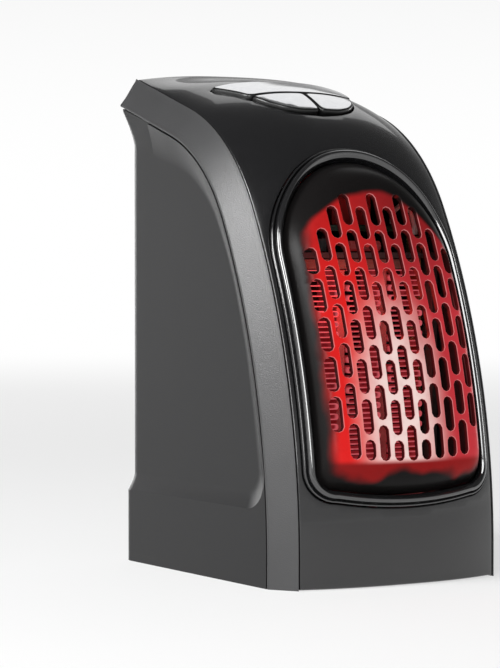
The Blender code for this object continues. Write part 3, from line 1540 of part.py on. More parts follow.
def fan_blade(number):
    """One twisted blade, from inside the hub to the tip circle."""
    base = math.tau * number / FAN_BLADES
    front, back = -FAN_REAR - FAN_DEPTH + BED / 2, -FAN_REAR - BED / 2
    root = FAN_HUB_RADIUS * BLADE_ROOT_SHARE
    rings = []
    for step in range(BLADE_STEPS + 1):
        radius = root + (FAN_RADIUS - root) * step / BLADE_STEPS
        sweep = BLADE_SWEEP * (1 - step / BLADE_STEPS / 2)
        thick = BLADE_WALL / radius
        ring = []
        for y, turn in ((front, -sweep), (front, -sweep + thick), (back, sweep + thick), (back, sweep)):
            angle = base + turn
            ring.append((radius * math.cos(angle), y, FAN_Z + radius * math.sin(angle)))
        rings.append(ring)
    return loft(f"blade {number}", rings)


def fan_impeller():
    """Axial fan: hub with swept blades, pressed on the shaft."""
    centre = (0, FAN_Z)
    bore = SHAFT_RADIUS + BORE_GAP
    front, back = -FAN_REAR - FAN_DEPTH, -FAN_REAR
    fan = tube("fan_impeller", centre, FAN_HUB_RADIUS, bore, front, back, MOTOR_SIDES, inner_black())
    for number in range(FAN_BLADES):
        join(fan, fan_blade(number))
    return fan


def element_back():
    return -DUCT_PLATE_FRONT - GAP


def element_front():
    return element_back() - FIN_DEPTH


def element_height():
    """Height of the fins and bars between the two holders."""
    return 2 * (DUCT_HALF_HEIGHT - DUCT_WALL - GAP - HOLDER_WALL - GAP)


def fin_left(number):
    return -ELEMENT_HALF_WIDTH + number * (FIN_WIDTH + PTC_WALL + 2 * GAP)


def ribbon(path, width):
    """Outline of a strip of the given width along a square-cornered path of (x, z) points."""
    left = []
    right = []
    for i, (x, z) in enumerate(path):
        normal = Vector((0, 0))
        for a, b in zip(path[max(i - 1, 0) : i + 1], path[max(i, 1) : i + 2]):
            along = (Vector(b) - Vector(a)).normalized()
            normal += Vector((-along.y, along.x))
        left.append((x + normal.x * width / 2, z + normal.y * width / 2))
        right.append((x - normal.x * width / 2, z - normal.y * width / 2))
    return left + right[::-1]


def fin_strip(number):
    """Folded aluminium strip: one ribbon that runs to and fro across the strip's width."""
    passes = round(element_height() / FIN_PITCH)
    rise = (element_height() - FIN_WALL) / (passes - 1)
    low = FAN_Z - element_height() / 2 + FIN_WALL / 2
    left = fin_left(number) + FIN_WALL / 2
    ends = (left, left + FIN_WIDTH - FIN_WALL)
    path = []
    for i in range(passes):
        first, last = ends if i % 2 == 0 else ends[::-1]
        path += [(first, low + rise * i), (last, low + rise * i)]
    outline = [(x, element_front(), z) for x, z in ribbon(path, FIN_WALL)]
    return prism(f"fin_strip_{number + 1}", outline, (0, FIN_DEPTH, 0), aluminium())


def ptc_bar(number):
    half = element_height() / 2
    left = fin_left(number) + FIN_WIDTH + GAP
    front = element_back() - PTC_DEPTH
    low = (left, front, FAN_Z - half)
    return box(f"ptc_bar_{number + 1}", low, (left + PTC_WALL, element_back(), FAN_Z + half), ceramic())


def heater_holder(name, sign):
    """Ceramic-filled bar that locates the fins in the duct."""
    inner = element_height() / 2 + GAP
    edges = sorted((FAN_Z + sign * inner, FAN_Z + sign * (inner + HOLDER_WALL)))
    half = ELEMENT_HALF_WIDTH - BED
    low = (-half, element_front(), edges[0])
    return box("heater_holder_" + name, low, (half, element_back(), edges[1]), heat_plastic())


def terminal_span(sign):
    inner = ELEMENT_HALF_WIDTH + GAP
    return sorted((sign * inner, sign * (inner + TERMINAL_WALL)))


def terminal_y():
    return (element_front() + element_back()) / 2


def terminal(side, sign):
    left, right = terminal_span(sign)
    half = TERMINAL_DEPTH / 2
    low = (left, terminal_y() - half, FAN_Z - element_height() / 2)
    top = FAN_Z + DUCT_HALF_HEIGHT + TERMINAL_RISE
    return box("terminal_" + side, low, (right, terminal_y() + half, top), brass())


def terminal_slot(sign):
    left, right = terminal_span(sign)
    half = TERMINAL_DEPTH / 2 + GAP
    top = FAN_Z + DUCT_HALF_HEIGHT
    low = (left - GAP, terminal_y() - half, top - DUCT_WALL - OVERRUN)
    return box(f"terminal slot {sign}", low, (right + GAP, terminal_y() + half, top + OVERRUN))


def duct_top():
    return FAN_Z + DUCT_HALF_HEIGHT + GAP


def thermal_cutout():
    half_x, half_y = CUTOUT_WIDTH / 2, CUTOUT_DEPTH / 2
    low = (-CUTOUT_OFFSET - half_x, terminal_y() - half_y, duct_top())
    high = (-CUTOUT_OFFSET + half_x, terminal_y() + half_y, duct_top() + CUTOUT_HEIGHT)
    return box("thermal_cutout", low, high, inner_black())


def thermal_fuse():
    """Axial fuse that lies across the duct."""
    ring = [math.tau * i / SCREW_SIDES for i in range(SCREW_SIDES)]
    z = duct_top() + FUSE_RADIUS
    start = CUTOUT_OFFSET - FUSE_LENGTH / 2
    outline = [(start, terminal_y() + FUSE_RADIUS * math.cos(a), z + FUSE_RADIUS * math.sin(a)) for a in ring]
    return prism("thermal_fuse", outline, (FUSE_LENGTH, 0, 0), ceramic())


def power_board():
    z = BASE_Z + POWER_BOARD_HEIGHT
    low = (-POWER_BOARD_HALF_WIDTH, -POWER_BOARD_FRONT, z)
    high = (POWER_BOARD_HALF_WIDTH, -POWER_BOARD_REAR, z + POWER_BOARD_WALL)
    return box("power_board", low, high, board_green())


def board_part(name, size, place, look):
    """A boxed component that stands on the power board."""
    (x, depth), (width, length, height) = place, size
    z = BASE_Z + POWER_BOARD_HEIGHT + POWER_BOARD_WALL + GAP
    low = (x - width / 2, -depth - length / 2, z)
    return box(name, low, (x + width / 2, -depth + length / 2, z + height), look)


def switch_centre():
    return Vector((SEAM_HALF_WIDTH + GAP + SWITCH_FLANGE[0], -SWITCH_DEPTH, BASE_Z + SWITCH_HEIGHT))


def switch_body():
    """Snap-in switch: flange outside the wall, body inside it, and a pocket for the rocker."""
    centre = switch_centre()
    deep, length, height = SWITCH_BODY
    thick, flange_length, flange_height = SWITCH_FLANGE
    outer = centre.x
    flange = box(
        "switch_body",
        (outer - thick, centre.y - flange_length / 2, centre.z - flange_height / 2),
        (outer, centre.y + flange_length / 2, centre.z + flange_height / 2),
        inner_black(),
    )
    body = box(
        "switch core",
        (outer - deep, centre.y - length / 2, centre.z - height / 2),
        (outer - thick / 2, centre.y + length / 2, centre.z + height / 2),
    )
    join(flange, body)
    half = ROCKER_HALF_LENGTH + ROCKER_END_GAP
    high = height / 2 - SWITCH_WALL
    pocket = box(
        "rocker pocket",
        (outer - ROCKER_POCKET, centre.y - half, centre.z - high),
        (outer + OVERRUN, centre.y + half, centre.z + high),
    )
    return combine(flange, pocket)


def switch_rocker():
    """Rocker on an upright axis level with the switch's face, at rest in its off position."""
    centre = switch_centre()
    high = SWITCH_BODY[2] / 2 - SWITCH_WALL - GAP
    end = ROCKER_HALF_LENGTH * ROCKER_END_SHARE
    outline = [
        (ROCKER_END_RISE, ROCKER_HALF_LENGTH),
        (ROCKER_RISE, 0),
        (ROCKER_END_RISE, -ROCKER_HALF_LENGTH),
        (-ROCKER_SKIRT, -end),
        (-ROCKER_HUB, 0),
        (-ROCKER_SKIRT, end),
    ]
    turn = Matrix.Rotation(-ROCKER_SWING, 3, "Z")
    low = [centre + turn @ Vector((x, y, -high)) for x, y in outline]
    return prism("switch_rocker", low, (0, 0, 2 * high), inner_black(), origin=centre)


def smooth_route(points):
    """Points close together on a smooth curve through the route's own points."""
    points = [Vector(point) for point in points]
    ends = [2 * points[0] - points[1]] + points + [2 * points[-1] - points[-2]]
    route = []
    for before, start, finish_point, after in zip(ends, ends[1:], ends[2:], ends[3:]):
        steps = max(1, round((finish_point - start).length / LEAD_POINT_SPACING))
        for i in range(steps):
            u = i / steps
            out = (finish_point - before) / 2
            back = (after - start) / 2
            a = 2 * start - 2 * finish_point + out + back
            b = 3 * finish_point - 3 * start - 2 * out - back
            route.append(start + out * u + b * u * u + a * u * u * u)
    return route + [points[-1]]


def lead(name, points, look):
    """A wire along its route, with closed ends."""
    route = smooth_route(points)
    curve = bpy.data.curves.new(name, "CURVE")
    curve.dimensions = "3D"
    curve.bevel_depth = LEAD_RADIUS
    curve.bevel_resolution = LEAD_BEVEL_STEPS
    curve.use_fill_caps = True
    spline = curve.splines.new("POLY")
    spline.points.add(len(route) - 1)
    for point, place in zip(spline.points, route):
        point.co = (*place, 1)
    curve.materials.append(look)
    made = bpy.data.objects.new(name, curve)
    bpy.context.scene.collection.objects.link(made)
    return made


def leads():
    """The wires that join the brushes, the switch, the boards, the element and the motor."""
    lead("lead_live", LIVE_ROUTE, lead_red())
    lead("lead_switched", SWITCHED_ROUTE, lead_red())
    lead("lead_neutral", NEUTRAL_ROUTE, lead_blue())
    for side, sign in (("left", -1), ("right", 1)):
        lead("lead_heater_" + side, [(sign * x, y, z) for x, y, z in HEATER_ROUTE], lead_white())
    lead("lead_motor", MOTOR_ROUTE, lead_red())
    lead("lead_display", DISPLAY_ROUTE, lead_white())


def plug():
    plug_base()
    for side, sign in (("left", -1), ("right", 1)):
        plug_pin(side, sign)
    plug_retainer()
    contact_ring("contact_ring_inner", INNER_RING_RADIUS, 1)
    contact_ring("contact_ring_outer", OUTER_RING_RADIUS, -1)


def housing():
    rear_shell()
    front_frame()
    front_fascia()
    outlet_bezel()
    outlet_grille()
    for place in housing_boss_places():
        housing_screw(*place)


def controls():
    display_window()
    control_board()
    display_module()
    for side, sign in (("left", -1), ("right", 1)):
        key(side, sign)
        key_switch(side, sign)
        board_screw(side, sign)


def fan():
    fan_shroud()
    motor_can()
    front = motor_front()
    back = front + MOTOR_LENGTH
    motor_bearing("front", front, front + BEARING_LENGTH)
    motor_bearing("rear", back - BEARING_LENGTH, back)
    motor_rotor()
    fan_impeller()
    for side, sign in (("left", -1), ("right", 1)):
        motor_screw(side, sign)


def heating_element():
    for side, sign in (("left", -1), ("right", 1)):
        terminal(side, sign)
    for number in range(FIN_STRIPS):
        fin_strip(number)
    for number in range(FIN_STRIPS - 1):
        ptc_bar(number)
    heater_holder("bottom", -1)
    heater_holder("top", 1)
    thermal_cutout()
    thermal_fuse()


def supply():
    contact_carrier()
    for name, x in brush_places():
        contact_brush(name, x)
    power_board()
    board_part("relay", RELAY_SIZE, RELAY_PLACE, inner_black())
    board_part("capacitor", CAPACITOR_SIZE, CAPACITOR_PLACE, lead_red())
    switch_body()
    switch_rocker()
    leads()


clear_scene()
plug()
housing()
controls()
heating_element()
fan()
supply()
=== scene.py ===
"""Looks of a plug-in fan heater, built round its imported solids.

Units are metres and +Z is up. The origin is the centre of the plug's face. The front faces -Y.
A point of the front surface is named by x, across, and t, the way up the fascia's side edge.
"""

import json
import math

import bmesh
import bpy
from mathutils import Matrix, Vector
from mathutils.geometry import delaunay_2d_cdt
from mathutils.kdtree import KDTree

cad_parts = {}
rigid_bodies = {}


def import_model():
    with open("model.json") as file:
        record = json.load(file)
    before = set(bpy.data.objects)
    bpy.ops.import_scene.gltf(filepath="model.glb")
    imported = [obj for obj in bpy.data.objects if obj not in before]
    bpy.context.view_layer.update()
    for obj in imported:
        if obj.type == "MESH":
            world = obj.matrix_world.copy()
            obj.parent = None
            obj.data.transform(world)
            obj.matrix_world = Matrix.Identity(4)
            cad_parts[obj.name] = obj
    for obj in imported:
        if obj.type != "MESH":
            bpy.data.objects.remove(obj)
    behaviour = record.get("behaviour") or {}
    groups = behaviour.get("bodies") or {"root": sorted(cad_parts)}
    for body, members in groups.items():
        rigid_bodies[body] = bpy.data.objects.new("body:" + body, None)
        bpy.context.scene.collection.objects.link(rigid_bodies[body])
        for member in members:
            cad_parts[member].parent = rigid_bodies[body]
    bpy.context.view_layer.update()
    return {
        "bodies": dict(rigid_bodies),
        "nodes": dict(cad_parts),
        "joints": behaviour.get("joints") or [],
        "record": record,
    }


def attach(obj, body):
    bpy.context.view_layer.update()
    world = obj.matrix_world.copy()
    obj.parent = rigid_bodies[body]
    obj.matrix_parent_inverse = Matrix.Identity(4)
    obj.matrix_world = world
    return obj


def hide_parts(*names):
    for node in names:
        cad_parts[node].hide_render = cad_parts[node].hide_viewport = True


# Sizes that the solids share
GAP = 0.0003
OVERRUN = 0.004
BEYOND_FRONT = 0.012
ABOVE_TOP = 0.06
SEAM_HALF_WIDTH = 0.0364
PLUG_HEIGHT = 0.105
WALL_STAND_OFF = 0.003
FRONT_DEPTH = 0.0876
FOOT_RISE = 0.008
LOWER_RADIUS = 0.195
LOWER_LEAN = math.radians(28.5)
UPPER_RADIUS = 0.0575
TOP_LEAN = math.radians(72)
CORNER_RADIUS = 0.005
TOP_CORNER_RADIUS = 0.001
TOP_CORNER_FADE = 0.025
SHELL_WALL = 0.002
FLOOR = 0.002
RECESS_DEPTH = 0.002
RECESS_FOOT = 0.0255
RECESS_EDGE = 0.0205
RECESS_FOOT_RADIUS = 0.005
RECESS_EDGE_RADIUS = 0.009
RECESS_CORNER_RISE = 0.015
RAMP_WIDTH = 0.0065
CORNER_OVERLAP = 0.0006
RAMP_SHARES = ((0, 1), (0.3, 0.92), (0.5, 0.78), (0.62, 0.9), (0.75, 1.12), (0.87, 1.35), (1, 1.52))
FASCIA_HALF_WIDTH = 0.0311
FASCIA_WALL = 0.002
FASCIA_LIFT = 0.0004
BAND_DROP = 0.0078
TRAY_WALL = 0.0018
BAND_WALL = 0.002
FRAME_END_RISE = 0.0005
FLANGE_SHARES = (0.98, 0.66, 0)
CROWN = 0.0045
CROWN_POWER = 2.5
CROWN_SHARES = ((0, 1), (0.45, 1), (0.62, 1.333), (0.75, 1.556), (0.88, 1.333), (1, 0.444))
WINDOW_HALF_WIDTH = 0.0298
WINDOW_ARCH_START = 0.0884
WINDOW_ARCH_RISE = 0.0308
WINDOW_BOTTOM = 0.0205
WINDOW_SAG = 0.0019
WINDOW_CORNER = 0.0085
BEZEL_WIDTH = 0.003
BEZEL_DEPTH = 0.004
GRILLE_RIM_DROP = 0.001
GRILLE_PROUD = 0.0046
GRILLE_WALL = 0.0016
DOME_HALF_WIDTH = 0.0215
FIELD_HALF_WIDTH = 0.02375
FIELD_ARCH_START = 0.0815
FIELD_BOTTOM = 0.0315
FIELD_CORNER = 0.005
SLOT_COLUMNS = 11
SLOT_PITCH = 0.00435
SLOT_WIDTH = 0.0032
SLOT_LENGTH = 0.0092
SLOT_RISE = 0.01035
SLOT_STAGGER_SHARE = 0.37
SLOT_EDGE = 0.0008
SHORTEST_SLOT_SHARE = 0.45
SLOT_ARCH_START = 0.0846
SLOT_ARCH_RISE = 0.021
SLOT_ARCH_POWER = 2.4
PANEL_FRONT_SHARE = 0.7274
PANEL_REAR_SHARE = 0.8597
PANEL_SPLIT_SHARE = 0.46
PANEL_HALF_WIDTH = 0.022
PANEL_PROUD = 0.001
PANEL_WALL = 0.0034
PANEL_GAP = 0.00045
PANEL_TRAY_GAP = 0.0015
PANEL_SHARES = ((0, 0.02), (0.045, 0.3), (0.12, 0.5), (0.25, 0.65), (0.46, 0.77), (1, 1))
LOW_CAVITY_TOP = 0.019
LOW_CAVITY_SET_BACK = 0.009
HUB_RADIUS = 0.015
SCREW_WELLS = ((-0.014, 0.009), (0.014, 0.009), (-0.0265, 0.1145), (0.0265, 0.1145))
SCREW_HEAD_RADIUS = 0.0027
INLET_COLUMNS = 7
INLET_PITCH = 0.006
INLET_SLOT_WIDTH = 0.0026
INLET_SLOT_LENGTH = 0.022
INLET_HEIGHTS = (0.038, 0.067)
SWITCH_HEIGHT = 0.011
SWITCH_DEPTH = 0.045
SWITCH_OPENING = (0.0193, 0.0133)
RECESS_CUT_SHARE = 1.3
FAN_HEIGHT = 0.056
DUCT_PLATE_FRONT = 0.053
DUCT_HALF_HEIGHT = 0.0325
DUCT_WALL = 0.0016
HOLDER_WALL = 0.0026
FIN_STRIPS = 4
FIN_WIDTH = 0.0108
FIN_DEPTH = 0.0105
FIN_PITCH = 0.0014
PTC_WALL = 0.0026

# Finer points that only the looks have
PANEL_EDGE = 0.0006
SEAM_GAP = 0.00045
BAND_FOOT = ((0.00015, 0), (0.00002, 0.00012), (0, 0.0003), (0.00003, 0.0005), (0.00012, 0.0007))
BAND_STEPS = 8
BAND_RISE_SHARE = 0.16
BAND_RIM = 0.0005
BAND_RIM_DROP = 0.0006
BAND_BULGE = 0.00018
RIM_POINTS = ((0.00028, -0.0001), (0.00016, 0.00008), (0.00003, 0))
TRAY_STEPS = 8
BEZEL_SECTION = (
    (0.0003, -0.004),
    (0.0003, -0.0002),
    (0.00035, 0.0002),
    (0.00052, 0.00036),
    (0.0008, 0.0003),
    (0.00092, -0.0002),
    (0.00104, -0.0003),
    (0.00116, -0.0001),
    (0.00124, 0.0009),
    (0.00136, 0.0014),
    (0.0016, 0.00162),
    (0.00212, 0.00178),
    (0.00228, 0.00176),
    (0.00242, 0.00166),
    (0.0032, 0.0008),
    (0.0033, 0.0006),
    (0.0033, -0.004),
)
FIN_WALL = 0.00028
FIN_BEND = 0.00055
FIN_BEND_STEPS = 3
FIN_EDGE = 0.0004
BEAD_RADIUS = 0.00028
BEAD_SIDES = 8
BEAD_INSET = 0.00055
BEAD_PROUD = 0.00046
FLANK_SEARCHES = 18
FLANK_POWER = 2.2
GRILLE_SPACING = 0.0013
SLOT_SIDES = 16
LIT_HALF_WIDTH = 0.0243
LIT_MIDDLE = 0.0003
LIT_LEFT_BEND = 22.0
LIT_RIGHT_BEND = 30.0
SLOT_END_STEPS = 6
ROUND_SHARE = 0.498
CHORD = 0.0011
SKIN_SPACING = 0.0016
EDGE_RADIUS = 0.00035
EDGE_STEPS = 4
SLOT_EDGE_RADIUS = 0.0002
LONG_STEPS = 44
ARCH_STEPS = 72
CORNER_STEPS = 9
BOTTOM_STEPS = 36
STATION_STEPS = 110
PLAN_STEPS = 14
RAMP_LEVELS = 9
LATHE_STEPS = 96
ROD_SIDES = 32
NEAR = 1e-7
GRID_CLEAR_SHARE = 0.55
SMOOTH_ANGLE = 30
SHEET_ANGLE = 38
EVEN_ANGLE = 24
BEZEL_ANGLE = 50
FIN_ANGLE = 40
ROUND_PASSES = 2

# The finishes' own lengths. A pair says where one tone starts to turn into the next and where it ends
SILVER_EDGE = 0.00001
SILVER_WAVE = 0.00002
BRUSH_DEPTH = 0.00001
WEAVE_DEPTH = 0.00002
JACKET_WAVE = 0.00003
GRILLE_GRAIN = 0.000005
# Where the grille's painted glow lies: its painted red, its darker red high up, its white spot, and the
# painted highlight and painted shade at its slots
RED_X = (-0.014, 0.012)
DEEP_RED_Z = (-0.036, -0.002)
RED_FOOT_Z = (-0.0724, -0.0706)
SLOT_RIM_DEPTH = 0.00012
SLOT_WALL_DEPTHS = (0.0002, 0.00035)
SLOT_SHADE_DEPTHS = (0.0004, 0.0016)
LIT_DRIFT = 0.003
LIT_NARROWS_Z = (-0.034, -0.008)
LIT_NARROWING = 0.002
LIT_FADE_INWARDS = 0.0026
LIT_FADE_OUTWARDS = 0.0008
LIT_FOOT_DRIFT = 0.01
LIT_FOOT_Z = (-0.0757, -0.0728)
LIT_BEND_X = (-0.01, 0.01)
LIT_TOP_FADE = 0.001
# Middle, reach and drift of the painted glow's white spot, along x and z
WHITE_ACROSS = (-0.0025, 0.0125, 0.006)
WHITE_UP = (-0.058, 0.027, 0.01)

# Slot, name, colour, variation, roughness, grain size, grain depth and gloss
MOULDED = (
    ("shell_grey", "shell plastic", (0.014, 0.014, 0.0145), 0.16, 0.4, 0.00028, 0.00003, 0.2),
    # The band is the shell's plastic painted lighter: painted light that stands for the light the band
    # catches from the left
    ("band_grey", "band plastic", (0.04, 0.04, 0.041), 0.16, 0.36, 0.0003, 0.00005, 0.5),
    ("inner_black", "inner plastic", (0.02, 0.02, 0.02), 0.2, 0.5, 0.0003, 0.00003, 0.5),
    ("heat_plastic", "heat-proof plastic", (0.09, 0.075, 0.06), 0.3, 0.55, 0.0005, 0.00004, 0.5),
    ("capacitor_red", "capacitor coating", (0.45, 0.02, 0.02), 0.15, 0.35, 0.0007, 0.00003, 0.5),
)
# Slot, name, colour, roughness, depth of the waves and index of refraction
GLOSSY = (
    ("gloss_black", "gloss black", (0.006, 0.006, 0.0065), 0.2, 0.00002, 1.5),
    ("bezel", "bezel gloss", (0.006, 0.006, 0.0065), 0.06, 0.000008, 1.8),
)
# Slot, name, colour, roughness and how closely the lines lie along each axis
BRUSHED = (
    ("brass", "brass", (0.72, 0.5, 0.2), 0.25, (1, 12, 1)),
    ("nickel", "nickel plate", (0.66, 0.64, 0.6), 0.18, (1, 14, 1)),
    ("steel", "zinc plate", (0.55, 0.56, 0.58), 0.28, (1, 1, 8)),
)
# Slot, name and colour
JACKETS = (
    ("lead_red", "red lead", (0.4, 0.02, 0.02)),
    ("lead_blue", "blue lead", (0.02, 0.06, 0.35)),
    ("lead_white", "white lead", (0.6, 0.6, 0.58)),
)

# The photographer's view and light
CAMERA_PLACE = (-0.3910, -0.6595, -0.0172)
CAMERA_AZIMUTH = 31.21
CAMERA_TILT = 1.75
CAMERA_LENS = 139.4
CLIP_START = 0.01
PAPER_SIZE = 6
PAPER_FADE = (0.25, 1.6)
SKY_SHARES = (0.02, 0.5)
ELEMENT_LIGHT = (0, -0.074, -0.03)
ELEMENT_LIGHT_RADIUS = 0.008
ELEMENT_POWER = 0.03
ELEMENT_COLOUR = (1, 0.04, 0.03)
# Name, place, target, width and height, and power
SOFTBOXES = (
    ("front strip", (-0.61, -0.73, 0.42), (0, -0.05, -0.03), (0.3, 0.8), 7.0),
    ("left strip", (-0.9, -0.25, 0.1), (0, -0.05, 0), (0.3, 0.6), 0.8),
    ("left softbox", (-0.8, -0.05, 0.41), (0, -0.05, 0), (0.3, 0.4), 8.0),
    ("right softbox", (1.1, 0.30, 0.0), (0, -0.05, -0.05), (0.15, 0.5), 1.2),
    ("back strip", (-0.06, 0.85, -0.08), (0, -0.05, 0), (0.25, 0.5), 1.8),
    ("top softbox", (0.55, 0.62, 0.72), (0, -0.04, 0.03), (0.6, 0.6), 1.0),
)

# Worked out from the sizes above
REAR_Y = -WALL_STAND_OFF
AHEAD_Y = REAR_Y - FRONT_DEPTH - BEYOND_FRONT
BASE_Z = -PLUG_HEIGHT
LOWER_END = FOOT_RISE + LOWER_RADIUS * LOWER_LEAN
UPPER_END = LOWER_END + UPPER_RADIUS * (TOP_LEAN - LOWER_LEAN)
LOWER_CENTRE = FRONT_DEPTH - LOWER_RADIUS
UPPER_CENTRE = LOWER_CENTRE + (LOWER_RADIUS - UPPER_RADIUS) * math.cos(LOWER_LEAN)
UPPER_CENTRE_RISE = FOOT_RISE + (LOWER_RADIUS - UPPER_RADIUS) * math.sin(LOWER_LEAN)
TOP_START_DEPTH = UPPER_CENTRE + UPPER_RADIUS * math.cos(TOP_LEAN)
TOP_START_RISE = UPPER_CENTRE_RISE + UPPER_RADIUS * math.sin(TOP_LEAN)
PROFILE_LENGTH = UPPER_END + TOP_START_DEPTH / math.sin(TOP_LEAN)
PANEL_FRONT = PROFILE_LENGTH * PANEL_FRONT_SHARE
PANEL_REAR = PROFILE_LENGTH * PANEL_REAR_SHARE
SEAM_OFFSET = -BAND_DROP - SEAM_GAP
TRAY_TOP = FASCIA_WALL + GAP
TRAY_BOTTOM = TRAY_TOP + TRAY_WALL
RECESS_HALF_WIDTH = SEAM_HALF_WIDTH - RECESS_DEPTH
CAVITY_HALF_WIDTH = RECESS_HALF_WIDTH - SHELL_WALL
WALL_INSIDE = REAR_Y - SHELL_WALL
CORE_RADIUS = CORNER_RADIUS + 2 * CORNER_OVERLAP


def operator(operation, swapped=False):
    """A method that joins a number in a node tree to another one, or to a plain number."""

    def join(self, other):
        terms = (other, self) if swapped else (self, other)
        return self.maths(operation, *terms)

    return join


class Value:
    """A number in a node tree that takes part in plain arithmetic."""

    def __init__(self, graph, socket):
        self.graph = graph
        self.socket = socket

    def maths(self, operation, *terms):
        return self.graph.value("ShaderNodeMath", dict(enumerate(terms)), operation=operation)

    __add__ = __radd__ = operator("ADD")
    __mul__ = __rmul__ = operator("MULTIPLY")
    __sub__ = operator("SUBTRACT")
    __rsub__ = operator("SUBTRACT", swapped=True)
    __truediv__ = operator("DIVIDE")
    __rtruediv__ = operator("DIVIDE", swapped=True)
    __pow__ = operator("POWER")
    __mod__ = operator("MODULO")

    def __floordiv__(self, other):
        ratio = self / other
        return ratio.maths("FLOOR", ratio)

    def __abs__(self):
        return self.maths("ABSOLUTE", self)

    def ramp(self, low, high):
        """0 below low, 1 above high and eased between them."""
        inputs = {"Value": self, "From Min": low, "From Max": high}
        return self.graph.value("ShaderNodeMapRange", inputs, interpolation_type="SMOOTHSTEP")


class Graph:
    """A node tree that grows by one node for each call."""

    def __init__(self, tree):
        self.tree = tree

    def node(self, kind, inputs=None, **settings):
        made = self.tree.nodes.new(kind)
        for name, value in settings.items():
            setattr(made, name, value)
        for key, value in (inputs or {}).items():
            self.feed(made.inputs[key], value)
        return made

    def feed(self, socket, value):
        if isinstance(value, Value):
            value = value.socket
        if isinstance(value, bpy.types.Node):
            value = value.outputs[0]
        if isinstance(value, bpy.types.NodeSocket):
            self.tree.links.new(value, socket)
        else:
            socket.default_value = value

    def value(self, kind, inputs=None, output=0, **settings):
        """One output of a new node, as a number."""
        return Value(self, self.node(kind, inputs, **settings).outputs[output])

    def split(self, vector):
        """The three numbers of a vector."""
        parts = self.node("ShaderNodeSeparateXYZ", {0: vector})
        return [Value(self, output) for output in parts.outputs]


def socket_name(key):
    return key.replace("_", " ").title().replace("Ior", "IOR")


class Surface(Graph):
    """A material whose patterns read Object coordinates."""

    def __init__(self, name, **fixed):
        self.material = bpy.data.materials.new(name)
        self.material.use_nodes = True
        super().__init__(self.material.node_tree)
        self.shader = self.tree.nodes["Principled BSDF"]
        for key, value in fixed.items():
            self.shader.inputs[socket_name(key)].default_value = value
        self.places = self.node("ShaderNodeTexCoord").outputs["Object"]

    def axes(self):
        return self.split(self.places)

    def stretched(self, scale):
        return self.node("ShaderNodeMapping", {"Vector": self.places, "Scale": scale})

    def noise(self, scale, detail=2.0, places=None):
        inputs = {"Vector": places or self.places, "Scale": scale, "Detail": detail}
        return self.value("ShaderNodeTexNoise", inputs)

    def cells(self, scale):
        return self.value("ShaderNodeTexVoronoi", {"Vector": self.places, "Scale": scale})

    def stored(self, name):
        return self.value("ShaderNodeAttribute", output="Fac", attribute_name=name)

    def mix(self, share, first, second):
        """The first colour at share 0 and the second at share 1."""
        sides = [(*side, 1) if isinstance(side, tuple) else side for side in (first, second)]
        inputs = {0: share, 6: sides[0], 7: sides[1]}
        return self.node("ShaderNodeMix", inputs, data_type="RGBA").outputs[2]

    def colour(self, share, first, second):
        self.paint("Base Color", self.mix(share, first, second))

    def bump(self, height, distance):
        inputs = {"Height": height, "Distance": distance, "Strength": 1.0}
        self.paint("Normal", self.node("ShaderNodeBump", inputs))

    def paint(self, name, value):
        self.feed(self.shader.inputs[name], value)


class Recipe(Graph):
    """A tree of geometry nodes with a named input for each of its sizes."""

    KINDS = {float: "NodeSocketFloat", int: "NodeSocketInt"}

    def __init__(self, name, sizes):
        tree = bpy.data.node_groups.new(name, "GeometryNodeTree")
        super().__init__(tree)
        self.name = name
        tree.interface.new_socket("Geometry", in_out="INPUT", socket_type="NodeSocketGeometry")
        tree.interface.new_socket("Geometry", in_out="OUTPUT", socket_type="NodeSocketGeometry")
        self.settings = {}
        for label, value in sizes.items():
            kind = self.KINDS[type(value)]
            socket = tree.interface.new_socket(label, in_out="INPUT", socket_type=kind)
            self.settings[socket.identifier] = value
        self.start = tree.nodes.new("NodeGroupInput")

    def size(self, label):
        return Value(self, self.start.outputs[label])

    def vector(self, x=0.0, y=0.0, z=0.0):
        return self.node("ShaderNodeCombineXYZ", {0: x, 1: y, 2: z})

    def stored(self, name):
        return self.value("GeometryNodeInputNamedAttribute", {0: name}, data_type="FLOAT")

    def make(self, geometry, look, base=None):
        """Realize the instances, set the material and return the result as a plain mesh."""
        plain = self.node("GeometryNodeRealizeInstances", {0: geometry})
        looks = {"Geometry": plain, "Material": look}
        painted = self.node("GeometryNodeSetMaterial", looks)
        self.node("NodeGroupOutput", {0: painted})
        holder = base or add_object(self.name, bpy.data.meshes.new(self.name))
        modifier = holder.modifiers.new(self.name, "NODES")
        modifier.node_group = self.tree
        for identifier, value in self.settings.items():
            modifier[identifier] = value
        return settled(holder)


def add_object(name, data, look=None):
    made = bpy.data.objects.new(name, data)
    bpy.context.scene.collection.objects.link(made)
    if look:
        data.materials.append(look)
    return made


def settled(made):
    """Turn the object's modifiers into plain mesh."""
    bpy.context.view_layer.update()
    graph = bpy.context.evaluated_depsgraph_get()
    mesh = bpy.data.meshes.new_from_object(made.evaluated_get(graph))
    made.modifiers.clear()
    made.data = mesh
    mesh.name = made.name
    return made


def shade(made, angle):
    made.data.shade_smooth()
    made.data.set_sharp_from_angle(angle=math.radians(angle))
    return made


def even_shading(made):
    """Shade smoothly, with the large flat faces deciding the normals."""
    shade(made, EVEN_ANGLE)
    modifier = made.modifiers.new("even shading", "WEIGHTED_NORMAL")
    modifier.keep_sharp = True
    return settled(made)


def from_bmesh(name, edit, look=None, angle=SMOOTH_ANGLE):
    bmesh.ops.recalc_face_normals(edit, faces=edit.faces)
    mesh = bpy.data.meshes.new(name)
    edit.to_mesh(mesh)
    edit.free()
    return shade(add_object(name, mesh, look), angle)


def around(points):
    """Each point of a loop with the next one."""
    return list(zip(points, points[1:] + points[:1]))


def join_rings(edit, low, high):
    for (a, b), (c, d) in zip(around(low), around(high)):
        edit.faces.new((a, b, d, c))


